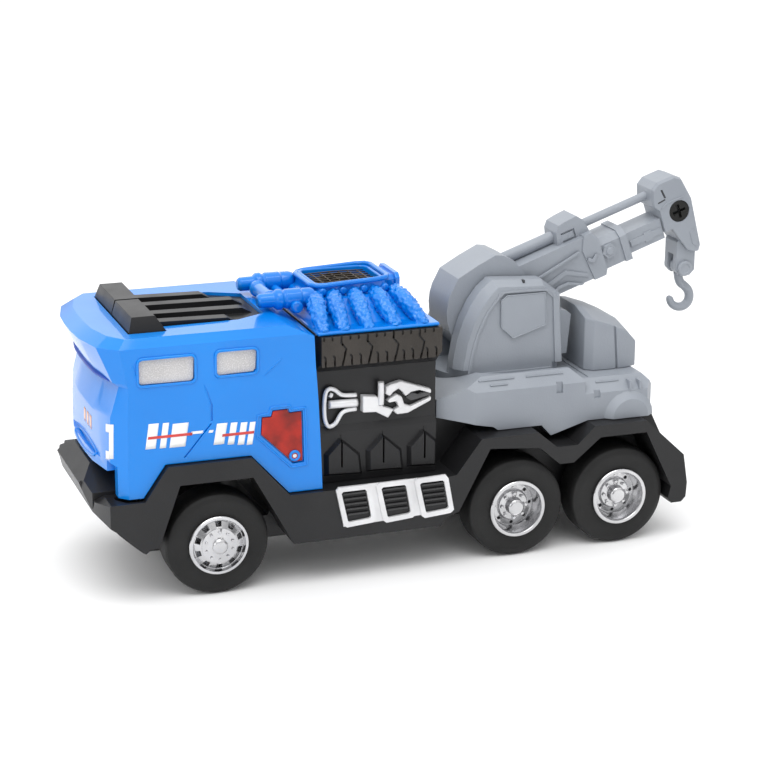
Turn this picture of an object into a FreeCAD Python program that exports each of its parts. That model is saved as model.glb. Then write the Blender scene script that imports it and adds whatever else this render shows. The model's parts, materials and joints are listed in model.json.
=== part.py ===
import FreeCAD, Part
import Sketcher
import math
import os

# Die-cast toy recovery truck with a swivelling crane.
# Axes: +X to the front of the truck, +Y to its left side, +Z up, ground at z = 0.
# Every position is written in the truck's own drawing frame and then moved along X
# by origin_x, so that the origin is under the middle of the whole model.

V = FreeCAD.Vector
doc = FreeCAD.newDocument("CraneTruck")
sheet = doc.addObject("Spreadsheet::Sheet", "Dims")

CELLS = [
    ("origin_x", 5.17, "shift that puts the origin under the middle of the model"),
    ("axle_front_x", 45.0, "front axle"),
    ("axle_mid_x", -27.74, "first rear axle"),
    ("axle_rear_x", -54.19, "second rear axle"),
    ("axle_height", 12.0, "axle centre above ground"),
    ("axle_radius", 1.0, "steel axle"),
    ("axle_half", 21.6, "half length of an axle"),
    ("axle_fit", 0.07, "radial clearance of an axle in its slot"),
    ("tyre_radius", 12.0, "rolling radius"),
    ("tyre_inner_y", 14.4, "inner face of the tyre"),
    ("tyre_outer_y", 23.0, "outer face of the tyre"),
    ("rim_bore", 6.2, "hub drum radius, tyre bore"),
    ("rim_lip", 6.95, "outer radius of the bright rim lip"),
    ("rim_face_y", 24.0, "outer face of the rim lip"),
    ("cab_half_low", 23.1, "half width of the cab at its sill"),
    ("cab_half_top", 22.5, "half width of the cab at the cant rail"),
    ("roof_height", 61.0, "roof above ground"),
    ("skirt_half", 24.4, "half width over fenders and skirts"),
    ("skirt_low", 10.3, "lower edge of the side skirts"),
    ("spine_half", 13.4, "half width of the frame between the wheels"),
    ("plate_low", 8.2, "underside of the base plate"),
    ("plate_top", 10.9, "top of the base plate"),
    ("deck_half", 20.0, "half width of the crane deck"),
    ("deck_floor", 40.0, "floor that the turret turns on"),
    ("turret_x", -30.0, "swivel axis"),
    ("turret_radius", 16.0, "turret base disc"),
    ("spindle_radius", 3.9, "turret spindle"),
    ("turret_fit", 0.1, "radial clearance of the spindle"),
    ("cheek_in", 6.5, "inner face of a cheek"),
    ("cheek_out", 12.2, "outer face of a cheek"),
    ("pivot_x", -28.5, "boom pivot"),
    ("pivot_z", 56.0, "boom pivot above ground"),
    ("pin_radius", 1.5, "boom pivot pin"),
    ("pin_fit", 0.08, "radial clearance of the knuckle on the pin"),
    ("boom_angle", 19.2, "boom above the horizontal at rest"),
    ("knuckle_half", 6.0, "half width of the boom knuckle"),
    ("knuckle_radius", 12.4, "boom knuckle"),
    ("boom_half", 5.3, "half width of the outer boom"),
    ("inner_half", 3.7, "half width of the sliding boom"),
    ("slide_fit", 0.35, "gap round the sliding boom"),
    ("ram_z", 8.65, "ram axis above the boom pivot line"),
    ("barrel_radius", 1.5, "ram barrel"),
    ("rod_radius", 1.05, "ram piston rod"),
    ("head_half", 4.3, "half width of the boom head"),
    ("hook_x", -79.6, "hook pin"),
    ("hook_z", 61.4, "hook pin above ground"),
    ("hook_pin_radius", 0.75, "hook pin"),
    ("hook_wire", 1.1, "half thickness of the hook"),
]
VAL = {}
for n, (alias, value, note) in enumerate(CELLS):
    sheet.set("A%d" % (n + 1), note)
    sheet.set("B%d" % (n + 1), str(value))
    sheet.setAlias("B%d" % (n + 1), alias)
    VAL[alias] = value
doc.recompute()


class Q:
    """A length built from sheet cells: its value and the expression that gives it."""
    def __init__(self, value, text):
        self.value, self.text = float(value), text

    def __add__(self, o):
        o = q(o)
        return Q(self.value + o.value, "(%s + %s)" % (self.text, o.text))

    def __sub__(self, o):
        o = q(o)
        return Q(self.value - o.value, "(%s - %s)" % (self.text, o.text))

    def __radd__(self, o):
        return q(o) + self

    def __rsub__(self, o):
        return q(o) - self

    def __mul__(self, o):
        o = q(o)
        return Q(self.value * o.value, "(%s * %s)" % (self.text, o.text))

    def __neg__(self):
        return Q(-self.value, "(0 - %s)" % self.text)


def q(v):
    return v if isinstance(v, Q) else Q(v, "(%.5f)" % v if v < 0 else "%.5f" % v)


def D(alias):
    return Q(VAL[alias], "Dims." + alias)


def num(v):
    return v.value if isinstance(v, Q) else float(v)


def bind(obj, prop, v):
    if isinstance(v, Q) and "Dims." in v.text:
        obj.setExpression(prop, v.text)


NODES = []


def circle(cx, cy, r):
    return ("circle", cx, cy, r)


class Node:
    """One moulded or turned piece: a body, its sketches and its features."""

    def __init__(self, label, x=0.0, y=0.0, z=0.0, angle=None):
        self.label = label
        self.b = doc.addObject("PartDesign::Body", label)
        self.b.Label = label
        self.count = 0
        px = D("origin_x") + x
        rot = FreeCAD.Rotation(V(0, 1, 0), num(angle) if angle is not None else 0.0)
        self.b.Placement = FreeCAD.Placement(V(px.value, num(y), num(z)), rot)
        bind(self.b, "Placement.Base.x", px)
        bind(self.b, "Placement.Base.y", y)
        bind(self.b, "Placement.Base.z", z)
        if angle is not None:
            bind(self.b, "Placement.Rotation.Angle", angle)
        NODES.append(self.b)

    def name(self, kind):
        self.count += 1
        return "%s_%s%02d" % (self.label, kind, self.count)

    def plane(self, role):
        return [f for f in self.b.Origin.OriginFeatures if f.Role == role][0]

    def sketch(self, role, loops, at=0.0):
        s = self.b.newObject("Sketcher::SketchObject", self.name("sketch"))
        s.AttachmentSupport = [(self.plane(role), "")]
        s.MapMode = "FlatFace"
        s.AttachmentOffset = FreeCAD.Placement(V(0, 0, num(at)), FreeCAD.Rotation())
        bind(s, "AttachmentOffset.Base.z", at)
        bound = []
        for loop in loops:
            if loop[0] == "circle":
                cx, cy, r = loop[1:]
                g = s.addGeometry(Part.Circle(V(num(cx), num(cy), 0), V(0, 0, 1), num(r)), False)
                c = s.addConstraint(Sketcher.Constraint("Radius", g, num(r)))
                bound.append((c, r))
                pts = [(g, 3, cx, cy)]
            else:
                first = s.GeometryCount
                k = len(loop)
                for i in range(k):
                    a, b = loop[i], loop[(i + 1) % k]
                    s.addGeometry(Part.LineSegment(V(num(a[0]), num(a[1]), 0), V(num(b[0]), num(b[1]), 0)), False)
                for i in range(k):
                    s.addConstraint(Sketcher.Constraint("Coincident", first + i, 2, first + (i + 1) % k, 1))
                pts = [(first + i, 1, loop[i][0], loop[i][1]) for i in range(k)]
            for g, pos, x, y in pts:
                for v, kind, axis in ((x, "DistanceX", -2), (y, "DistanceY", -1)):
                    if abs(num(v)) < 1e-7 and not isinstance(v, Q):
                        s.addConstraint(Sketcher.Constraint("PointOnObject", g, pos, axis))
                    else:
                        c = s.addConstraint(Sketcher.Constraint(kind, -1, 1, g, pos, num(v)))
                        bound.append((c, v))
        for c, v in bound:
            bind(s, "Constraints[%d]" % c, v)
        return s

    def feature(self, kind, **props):
        f = self.b.newObject(kind, self.name(kind.split("::")[1].lower()))
        for k, v in props.items():
            setattr(f, k, v)
        return f

    def _extent(self, role, lo, hi, cutting):
        # the XZ plane looks along -Y, the other two along +Z and +X
        if role == "XZ_Plane":
            return -q(lo) if cutting else -q(hi)
        return q(hi) if cutting else q(lo)

    def pad(self, role, loops, lo, hi):
        at = self._extent(role, lo, hi, False)
        s = self.sketch(role, loops, at)
        f = self.feature("PartDesign::Pad", Profile=s)
        f.Length = num(hi) - num(lo)
        if isinstance(lo, Q) or isinstance(hi, Q):
            bind(f, "Length", q(hi) - q(lo))
        return self.done(f)

    def cut(self, role, loops, lo, hi):
        at = self._extent(role, lo, hi, True)
        s = self.sketch(role, loops, at)
        f = self.feature("PartDesign::Pocket", Profile=s)
        f.Length = num(hi) - num(lo)
        if isinstance(lo, Q) or isinstance(hi, Q):
            bind(f, "Length", q(hi) - q(lo))
        before = self.volume
        self.done(f)
        if self.volume > before - 1e-4:
            raise RuntimeError("%s: a pocket removed nothing" % f.Name)
        return f

    def loft(self, role, sections, cutting=False, ruled=True):
        sk = [self.sketch(role, [pts], at) for at, pts in sections]
        kind = "PartDesign::SubtractiveLoft" if cutting else "PartDesign::AdditiveLoft"
        f = self.feature(kind, Profile=sk[0])
        f.Sections = sk[1:]
        f.Ruled = ruled
        return self.done(f)

    def turn(self, loops, axis="V_Axis", role="XY_Plane", angle=360.0, cutting=False, at=0.0):
        s = self.sketch(role, loops, at)
        kind = "PartDesign::Groove" if cutting else "PartDesign::Revolution"
        f = self.feature(kind, Profile=s)
        f.ReferenceAxis = (s, [axis])
        f.Angle = angle
        return self.done(f)

    def ring(self, feature, axis, count, angle=360.0):
        p = self.feature("PartDesign::PolarPattern", Originals=[feature])
        p.Axis = (self.plane(axis), [""])
        p.Angle = angle
        p.Occurrences = count
        self.b.Tip = p
        return self.done(p)

    def row(self, feature, axis, length, count):
        p = self.feature("PartDesign::LinearPattern", Originals=[feature])
        p.Direction = (self.plane(axis), [""])
        p.Length = length
        p.Occurrences = count
        self.b.Tip = p
        return self.done(p)

    def mirror(self, features, role="XZ_Plane"):
        p = self.feature("PartDesign::Mirrored", Originals=features)
        p.MirrorPlane = (self.plane(role), [""])
        self.b.Tip = p
        return self.done(p)

    def soften(self, radius, pick, chamfer=False):
        """Round or bevel the edges for which pick(a, b) is true, a and b their end points."""
        tip = self.b.Tip
        names = []
        for i, e in enumerate(tip.Shape.Edges):
            a, b = e.Vertexes[0].Point, e.Vertexes[-1].Point
            if pick(a, b):
                names.append("Edge%d" % (i + 1))
        if not names:
            raise RuntimeError("%s: nothing to soften" % self.label)
        kind = "PartDesign::Chamfer" if chamfer else "PartDesign::Fillet"
        f = self.feature(kind, Base=(tip, names))
        if chamfer:
            f.Size = num(radius)
        else:
            f.Radius = num(radius)
            bind(f, "Radius", radius)
        return self.done(f)

    def done(self, f):
        doc.recompute()
        if "Invalid" in f.State or "Error" in f.State or f.Shape.isNull() or not f.Shape.isValid():
            raise RuntimeError("%s failed: %s" % (f.Name, f.State))
        self.volume = f.Shape.Volume
        return f


def mirrored(points):
    """The whole outline of a shape that is symmetrical about the first coordinate's axis."""
    return points + [(x, -y) for x, y in reversed(points) if abs(num(y)) > 1e-9]


def box(x0, x1, y0, y1):
    return [(x0, y0), (x1, y0), (x1, y1), (x0, y1)]


# ---------------------------------------------------------------- running gear
AX = {"front": D("axle_front_x"), "middle": D("axle_mid_x"), "rear": D("axle_rear_x")}


def axle(name):
    n = Node(name + "_axle", AX[name], 0, D("axle_height"))
    n.pad("XZ_Plane", [circle(0, 0, D("axle_radius"))], -D("axle_half"), D("axle_half"))
    n.soften(0.25, lambda a, b: abs(a.y - b.y) < 0.01)


def tyre(name, side):
    # side is +1 on the left; the profile is radius against distance from the inner face
    n = Node("%s_tyre_%s" % (name, "left" if side > 0 else "right"), AX[name], 0, D("axle_height"))
    r, b, yi, yo = D("tyre_radius"), D("rim_bore"), D("tyre_inner_y"), D("tyre_outer_y")
    s = (lambda y: y) if side > 0 else (lambda y: -q(y))
    prof = [(b, s(yi + 0.4)), (b + 2.3, s(yi)), (r - 1.1, s(yi)), (r - 0.35, s(yi + 0.5)),
            (r, s(yi + 1.5)), (r, s(yo - 1.5)), (r - 0.35, s(yo - 0.5)), (r - 1.1, s(yo)),
            (r - 2.0, s(yo + 0.25)), (r - 3.6, s(yo + 0.25)), (b + 0.9, s(yo - 0.05)), (b, s(yo - 0.05))]
    n.turn([prof])


def front_hub(side):
    n = Node("front_hub_%s" % ("left" if side > 0 else "right"), AX["front"], 0, D("axle_height"))
    b, lip, yf, yi = D("rim_bore"), D("rim_lip"), D("rim_face_y"), D("tyre_inner_y")
    s = (lambda y: y) if side > 0 else (lambda y: -q(y))
    bore = D("axle_radius")
    prof = [(bore, s(yi - 0.4)), (3.0, s(yi - 0.4)), (3.0, s(yi + 0.4)), (b, s(yi + 0.4)), (b, s(yf - 1.05)),
            (lip, s(yf - 1.05)), (lip, s(yf - 0.25)), (lip - 0.2, s(yf)), (b, s(yf)), (b - 0.25, s(yf - 0.7)),
            (b - 0.45, s(yf - 0.95)), (4.1, s(yf - 0.15)), (4.1, s(yf + 0.05)), (2.45, s(yf + 0.25)),
            (1.75, s(yf + 0.3)), (1.75, s(yf + 0.8)), (1.35, s(yf + 1.1)), (0.0, s(yf + 1.25)),
            (0.0, s(D("axle_half"))), (bore, s(D("axle_half")))]
    n.turn([prof])
    hole = [(-0.62, 4.45), (0.62, 4.45), (0.78, 5.6), (-0.78, 5.6)]
    lo, hi = (19.5, 25.0) if side > 0 else (-25.0, -19.5)
    n.ring(n.cut("XZ_Plane", [hole], lo, hi), "Y_Axis", 10)
    nut = [(0.36 * math.cos(math.radians(60 * i)), 3.25 + 0.36 * math.sin(math.radians(60 * i))) for i in range(6)]
    lo, hi = (D("rim_face_y") - 0.5, D("rim_face_y") + 0.5) if side > 0 else (-D("rim_face_y") - 0.5, -D("rim_face_y") + 0.5)
    n.ring(n.pad("XZ_Plane", [nut], lo, hi), "Y_Axis", 10)


def rear_hub(name, side):
    n = Node("%s_hub_%s" % (name, "left" if side > 0 else "right"), AX[name], 0, D("axle_height"))
    b, lip, yf, yi = D("rim_bore"), D("rim_lip"), D("rim_face_y"), D("tyre_inner_y")
    s = (lambda y: y) if side > 0 else (lambda y: -q(y))
    bore = D("axle_radius")
    prof = [(bore, s(yi - 0.4)), (3.0, s(yi - 0.4)), (3.0, s(yi + 0.4)), (b, s(yi + 0.4)), (b, s(yf - 1.05)),
            (lip, s(yf - 1.05)), (lip, s(yf - 0.25)), (lip - 0.2, s(yf)), (b - 0.1, s(yf)), (b - 0.35, s(yf - 0.5)),
            (b - 0.7, s(yf - 3.4)), (b - 1.0, s(yf - 4.1)), (3.9, s(yf - 3.9)), (3.5, s(yf - 3.1)),
            (2.1, s(yf - 2.9)), (1.95, s(yf - 1.1)), (1.5, s(yf - 0.75)), (0.0, s(yf - 0.65)),
            (0.0, s(D("axle_half"))), (bore, s(D("axle_half")))]
    n.turn([prof])
    stud = [(0.42 * math.cos(math.radians(60 * i)), 3.0 + 0.42 * math.sin(math.radians(60 * i))) for i in range(6)]
    y0, y1 = D("rim_face_y") - 3.4, D("rim_face_y") - 2.3
    lo, hi = (y0, y1) if side > 0 else (-y1, -y0)
    n.ring(n.pad("XZ_Plane", [stud], lo, hi), "Y_Axis", 8)
    lo, hi = (17.5, 20.5) if side > 0 else (-20.5, -17.5)
    n.ring(n.cut("XZ_Plane", [circle(0, 4.55, 0.42)], lo, hi), "Y_Axis", 8)


for axle_name in ("front", "middle", "rear"):
    axle(axle_name)
    for side in (1, -1):
        tyre(axle_name, side)
        if axle_name == "front":
            front_hub(side)
        else:
            rear_hub(axle_name, side)

# ---------------------------------------------------------------- frame and skirts
SK = D("skirt_half")
LOW = D("skirt_low")
SP = D("spine_half")
PT = D("plate_top")

frame = Node("chassis_frame")
# the spine between the wheels
frame.pad("XZ_Plane", [[(62.0, PT), (62.0, 22.0), (58.0, 22.0), (56.0, 16.5), (41.0, 16.5), (39.0, 13.9), (30.5, 13.9),
                        (28.0, 22.0), (-8.8, 22.0), (-8.8, 34.1), (-16.2, 32.8), (-22.7, 31.5), (-23.6, 30.7), (-66.0, 30.7), (-70.5, 21.5),
                        (-70.5, PT)]], -SP, SP)
# fenders and skirts, left and right, drawn as one side panel
outer = [(66.3, 22.8), (61.6, 22.8), (61.6, 24.6), (56.5, 32.0), (37.2, 32.0), (28.4, 22.2), (-9.0, 22.2), (-11.8, 22.4),
         (-18.0, 30.5), (-32.3, 30.6), (-37.2, 26.5), (-42.5, 26.5), (-46.8, 30.6), (-60.3, 30.6), (-66.2, 25.0),
         (-70.6, 21.0), (-71.8, 13.8), (-71.6, 10.2), (-70.4, 9.0), (-67.7, 9.0), (-66.8, 10.3), (-67.5, 13.3),
         (-60.4, 27.7), (-48.4, 27.7), (-41.6, 22.2), (-38.0, 22.2), (-33.4, 26.2), (-32.4, 26.8), (-20.2, 27.9),
         (-12.6, 13.4), (-9.4, 12.2), (-7.9, LOW), (27.6, LOW), (28.9, 12.8), (37.0, 27.4), (53.8, 27.4), (58.9, 13.2),
         (60.6, 13.2), (61.9, 12.2), (62.6, 12.6), (65.1, 14.8), (68.0, 17.6), (70.6, 21.1), (70.4, 22.8)]
panels = frame.pad("XZ_Plane", [outer], SP - 0.4, SK)
frame.mirror([panels])
# bumper: full-width bar, corners cut back in plan
bar = frame.pad("XZ_Plane", [[(60.0, 14.0), (62.4, 13.2), (65.0, 15.0), (68.0, 17.8), (72.0, 20.8), (71.6, 23.4), (69.4, 24.4), (60.0, 24.4)]],
                -SK, SK)
hump = frame.pad("XZ_Plane", [[(62.0, 22.0), (72.2, 21.4), (73.9, 26.3), (70.6, 29.6), (66.0, 30.0), (62.0, 28.0)]], -16.8, 16.8)
side_cut = frame.cut("YZ_Plane", [[(7.6, 31.0), (7.6, 30.2), (17.2, 25.0), (18.2, 25.0), (18.2, 31.0)]], 61.0, 75.0)
frame.mirror([side_cut])
corner = frame.cut("XY_Plane", [[(75.0, 12.0), (73.4, 12.0), (69.6, 24.6), (69.6, 25.5), (75.0, 25.5)]], 9.0, 33.0)
frame.mirror([corner])
# recess where the cab's lower lip sits over the bumper ends
seat = frame.cut("XY_Plane", [[(61.8, 18.8), (67.6, 18.8), (67.6, 20.6), (65.6, 23.2), (61.8, 23.2)]], 22.8, 30.0)
frame.mirror([seat])
# slots that take the axles from below
for ax in ("axle_front_x", "axle_mid_x", "axle_rear_x"):
    slot = frame.cut("XZ_Plane", [[(D(ax) - D("axle_radius") - D("axle_fit"), PT - 1.0),
                                   (D(ax) + D("axle_radius") + D("axle_fit"), PT - 1.0),
                                   (D(ax) + D("axle_radius") + D("axle_fit"), D("axle_height") + D("axle_radius") + D("axle_fit")),
                                   (D(ax) - D("axle_radius") - D("axle_fit"), D("axle_height") + D("axle_radius") + D("axle_fit"))]],
                     -25.0, 25.0)
# base plate that closes the axle slots from below
SCREWS = [(57.0, 0.0), (24.0, 0.0), (-10.0, 0.0), (-64.0, 8.0), (-64.0, -8.0)]
plate = Node("base_plate")
plate.pad("XY_Plane", [mirrored([(61.0, 9.0), (58.5, SP - 0.6), (-67.0, SP - 0.6), (-69.8, 9.0)])], D("plate_low"), PT)
for sx, sy in SCREWS:
    plate.cut("XY_Plane", [circle(sx, sy, 1.05)], 7.0, PT)
    plate.cut("XY_Plane", [circle(sx, sy, 2.1)], 7.0, D("plate_low") + 1.1)
    frame.cut("XY_Plane", [circle(sx, sy, 1.0)], PT - 1.0, 13.0 if sx > 50 else 19.0)
plate.cut("XY_Plane", [box(28.0, 34.0, -6.0, 6.0), box(2.0, 18.0, -8.0, 8.0), box(-22.0, -16.0, -7.0, 7.0)], 7.0, D("plate_low") + 0.6)


def part_node(label, shape, x=0.0):
    """A piece made straight from solids, placed like the bodies."""
    f = doc.addObject("Part::Feature", label)
    f.Label = label
    f.Shape = shape
    px = D("origin_x") + x
    f.Placement = FreeCAD.Placement(V(px.value, 0, 0), FreeCAD.Rotation())
    bind(f, "Placement.Base.x", px)
    doc.recompute()
    NODES.append(f)
    return f


def screw(x, y, z, up, head_r, head_h, r, length):
    """A cross-head screw: its head's outer face at z, its shank running on along up."""
    d = V(0, 0, 1 if up else -1)
    p = V(x, y, z)
    s = Part.makeCylinder(head_r, head_h, p, d).fuse(Part.makeCylinder(r, length, p, d))
    for a in (45, 135):
        b = Part.makeBox(head_r * 1.3, 0.45, 0.6, V(-head_r * 0.65, -0.225, -0.01 if up else -0.59))
        b.rotate(V(0, 0, 0), V(0, 0, 1), a)
        b.translate(p)
        s = s.cut(b)
    return s


part_node("base_plate_screws", Part.Compound(
    [screw(sx, sy, VAL["plate_low"] + 0.1, True, 2.0, 1.0, 0.98, 4.4 if sx > 50 else 9.0) for sx, sy in SCREWS]))

# ---------------------------------------------------------------- cab
CL, CT, RH = D("cab_half_low"), D("cab_half_top"), D("roof_height")
cab = Node("cab_shell")


def plan(rear, side, col, brow, front, yr, ys, yc):
    return mirrored([(rear, yr), (side, ys), (col, yc), (brow, 10.0), (front, 3.5)])


cab.loft("XY_Plane", [
    (22.45, plan(20.4, 65.1, 67.7, 69.9, 70.2, CL, CL - 0.1, CL - 2.9)),
    (31.0, plan(20.7, 65.0, 68.4, 70.2, 70.5, CL, CL - 0.1, CL - 3.4)),
    (43.2, plan(21.2, 64.7, 68.0, 69.7, 70.0, CL - 0.2, CL - 0.3, CL - 3.4)),
    (50.2, plan(21.6, 64.4, 66.0, 66.8, 67.0, CT + 0.15, CT, CT - 2.4)),
    (51.3, plan(21.7, 64.8, 67.4, 68.8, 69.1, CT + 0.1, CT, CT - 2.4)),
    (59.0, plan(22.0, 66.2, 70.4, 72.4, 72.8, CT, CT, CT - 4.0)),
    (RH, plan(27.2, 64.6, 67.6, 69.4, 69.8, CT - 1.3, CT - 1.5, CT - 5.5)),
])
cab.cut("XZ_Plane", [[(14.0, 55.0), (21.0, 58.4), (22.1, 58.4), (28.2, RH + 0.1), (28.2, RH + 3.0), (14.0, RH + 3.0)]], -26.0, 26.0)
cab.cut("XZ_Plane", [[(78.0, 18.0), (78.0, 24.95), (61.8, 24.95), (56.7, 32.2), (37.1, 32.2), (28.3, 22.45), (27.0, 18.0)]], -26.0, 26.0)
cab.cut("XY_Plane", [box(60.0, 76.0, -18.2, 18.2)], 20.0, 30.5)
# hollow for the window insert and the frame
cab.cut("XY_Plane", [mirrored([(22.4, 21.3), (60.5, 21.3), (63.2, 17.0)])], 20.0, 58.4)
# recessed centre of the nose, and the slit of the windscreen under the visor
cab.cut("YZ_Plane", [[(-16.2, 32.6), (16.2, 32.6), (15.4, 42.6), (-15.4, 42.6)]], 69.3, 75.0)
cab.cut("XY_Plane", [mirrored([(64.6, 18.6), (68.0, 18.6), (76.0, 10.0)])], 50.2, 51.0)
# stepped feet of the front corner columns
foot = cab.cut("YZ_Plane", [[(24.5, 24.0), (24.5, 31.6), (22.0, 31.6), (19.3, 33.0), (18.0, 33.0), (18.0, 24.0)]], 67.0, 75.0)
cab.mirror([foot])
WIN = [[(62.1, 51.2), (61.6, 50.6), (50.2, 50.5), (49.6, 51.0), (49.4, 55.9), (49.9, 56.5), (61.4, 56.3), (61.9, 55.8)],
       [(44.7, 51.7), (44.1, 51.1), (36.0, 51.3), (35.4, 51.9), (35.2, 56.1), (35.7, 56.7), (43.9, 56.7), (44.5, 56.1)]]
cab.cut("XZ_Plane", WIN, -26.0, 26.0)


def grown(points, by):
    cx = sum(p[0] for p in points) / len(points)
    cz = sum(p[1] for p in points) / len(points)
    return [(x + by * (1 if x > cx else -1), z + by * (1 if z > cz else -1)) for x, z in points]


for rim in [cab.loft("XZ_Plane", [(-(CT - 0.25), grown(w, 0.05)), (-(CT + 0.4), grown(w, 0.75))], cutting=True) for w in WIN]:
    cab.mirror([rim])
# door shut line and the shield-shaped seat of the side badge
BADGE = [(34.6, 40.9), (32.4, 40.9), (32.0, 42.2), (28.3, 42.3), (27.9, 41.4), (24.9, 41.5), (24.7, 29.3), (27.4, 29.2), (34.9, 36.6)]
door = cab.cut("XZ_Plane", [[(47.7, 49.6), (47.2, 49.6), (45.7, 44.9), (45.7, 41.2), (46.2, 41.2), (46.2, 44.9)],
                            [(45.9, 40.6), (46.4, 40.6), (52.6, 33.4), (52.1, 33.4)],
                            [(33.5, 50.3), (33.9, 50.3), (29.6, 53.9), (29.2, 53.9)]], CL - 0.55, 26.0)
cab.mirror([door])
seat_b = cab.cut("XZ_Plane", [BADGE], CL - 0.8, 26.0)
cab.mirror([seat_b])
# seat of the roof insert
INS = [(62.9, 17.3), (54.2, 17.3), (54.2, 13.4), (36.8, 13.0), (29.8, 9.2)]
cab.cut("XY_Plane", [mirrored(INS)], RH - 1.4, RH + 3.0)

insert = Node("window_insert")
insert.pad("XZ_Plane", [box(34.4, 62.8, 49.8, 57.6)], -21.1, 21.1)
insert.cut("XY_Plane", [[(63.5, 15.0), (63.5, 22.0), (60.2, 22.0)]], 45.0, 60.0)
insert.cut("XY_Plane", [[(63.5, -15.0), (63.5, -22.0), (60.2, -22.0)]], 45.0, 60.0)
boss = insert.pad("XZ_Plane", [grown(w, -0.12) for w in WIN], 20.0, CT - 0.55)
insert.mirror([boss])

bar_n = Node("roof_light_bar")
bar_n.pad("XY_Plane", [mirrored([(62.8, 17.2), (54.3, 17.2), (54.3, 13.3), (36.8, 12.9), (29.9, 9.1)])], RH - 1.38, RH - 0.75)
bar_n.loft("XY_Plane", [(RH - 0.75, box(54.4, 62.6, -17.1, 17.1)), (RH + 0.4, box(54.5, 62.6, -17.0, 17.0)), (RH + 3.3, box(56.5, 61.7, -15.7, 15.7))])
for ry, rx in ((11.0, 36.6), (3.9, 31.2)):
    rib = bar_n.pad("XZ_Plane", [[(55.5, RH - 0.8), (55.5, RH + 0.9), (rx + 2.5, RH + 0.55), (rx, RH - 0.8)]], ry - 1.5, ry + 1.5)
    bar_n.mirror([rib])
bar_n.cut("YZ_Plane", [[(-0.45, RH + 4), (-0.2, RH), (0.2, RH), (0.45, RH + 4)]], 50.0, 66.0)

for side in (1, -1):
    bd = Node("side_badge_%s" % ("left" if side > 0 else "right"))
    small = [(34.3, 40.6), (32.2, 40.6), (31.8, 41.9), (28.5, 42.0), (28.1, 41.1), (25.2, 41.2), (25.0, 29.6), (27.3, 29.5), (34.6, 36.7)]
    lo, hi = (CL - 0.8, CL - 0.35) if side > 0 else (-CL + 0.35, -CL + 0.8)
    bd.pad("XZ_Plane", [small], lo, hi)
    lo, hi = (CL - 0.4, CL - 0.05) if side > 0 else (-CL + 0.05, -CL + 0.4)
    bd.pad("XZ_Plane", [circle(26.9, 31.0, 0.75)], lo, hi)
    lo, hi = (CL - 0.15, CL) if side > 0 else (-CL, -CL + 0.15)
    bd.cut("XZ_Plane", [circle(26.9, 31.0, 0.35)], lo, hi)

# ---------------------------------------------------------------- engine and mid body
EB = 57.75
eng = Node("engine_block")
eng.pad("XY_Plane", [box(-8.3, 20.9, -21.6, 21.6)], EB, EB + 0.9)
eng.loft("XY_Plane", [(EB + 0.8, box(-5.8, 20.6, -17.5, 17.5)), (EB + 3.6, box(-3.5, 19.6, -13.0, 13.0)), (EB + 5.4, box(-1.5, 18.6, -9.3, 9.3))])
eng.loft("XY_Plane", [(EB + 3.0, mirrored([(17.9, 6.6), (16.9, 7.9), (-0.4, 7.9), (-1.4, 6.6)])),
                      (EB + 8.4, mirrored([(17.0, 6.4), (15.8, 7.8), (0.4, 7.8), (-0.8, 6.4)]))])
eng.cut("XY_Plane", [mirrored([(16.1, 5.7), (15.2, 6.9), (1.0, 6.9), (0.1, 5.7)])], EB + 5.6, EB + 9.0)

fan = Node("intake_fan")
fan.pad("XY_Plane", [box(0.6, 15.6, -6.2, 6.2)], EB + 5.6, EB + 6.2)
fan.pad("XY_Plane", [circle(8.1, 0, 5.6), circle(8.1, 0, 4.9)], EB + 6.1, EB + 7.3)
fan.pad("XY_Plane", [circle(8.1, 0, 1.6)], EB + 6.1, EB + 7.5)
for i in range(4):
    a = math.radians(45 * i + 22)
    dx, dy, ex, ey = 5.2 * math.cos(a), 5.2 * math.sin(a), -0.35 * math.sin(a), 0.35 * math.cos(a)
    fan.pad("XY_Plane", [[(8.1 - dx - ex, -dy - ey), (8.1 + dx - ex, dy - ey), (8.1 + dx + ex, dy + ey), (8.1 - dx + ex, -dy + ey)]],
            EB + 6.1, EB + 6.9)

# exhaust headers: bent runners down both flanks of the engine
HEAD = [(17.4, 18.9), (13.0, 14.2), (7.9, 8.4), (2.6, 2.0), (-2.2, -4.6)]
eng_headers = []
for sy in (1, -1):
    for xt, xf in HEAD:
        a = V(xt, sy * 9.4, EB + 5.3)
        b = V((xt + xf) / 2.0 + 0.3, sy * 14.6, EB + 4.1)
        c = V(xf, sy * 19.6, EB + 0.9)
        s = Part.makeSphere(1.75, a).fuse([
            Part.makeCylinder(1.75, (b - a).Length, a, b - a), Part.makeSphere(1.75, b),
            Part.makeCylinder(1.75, (c - b).Length, b, c - b)])
        s = s.common(Part.makeBox(60, 60, 20, V(-20, -30, EB + 0.9)))
        eng_headers.append(s)
core = eng.b.Tip.Shape.copy()
headers = Part.Compound([s.cut(core) for s in eng_headers])
part_node("exhaust_headers", headers)

# air duct that runs from the intake over the cab's rear
duct = Node("air_duct")
for sy in (8.2, -8.2):
    duct.pad("YZ_Plane", [circle(sy, EB + 5.5, 2.3)], 19.8, 24.5)
    duct.pad("YZ_Plane", [circle(sy, EB + 5.5, 1.7)], 24.0, 30.0)
duct.pad("XY_Plane", [box(24.2, 28.5, -9.0, 9.0)], RH + 0.05, EB + 6.4)

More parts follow.
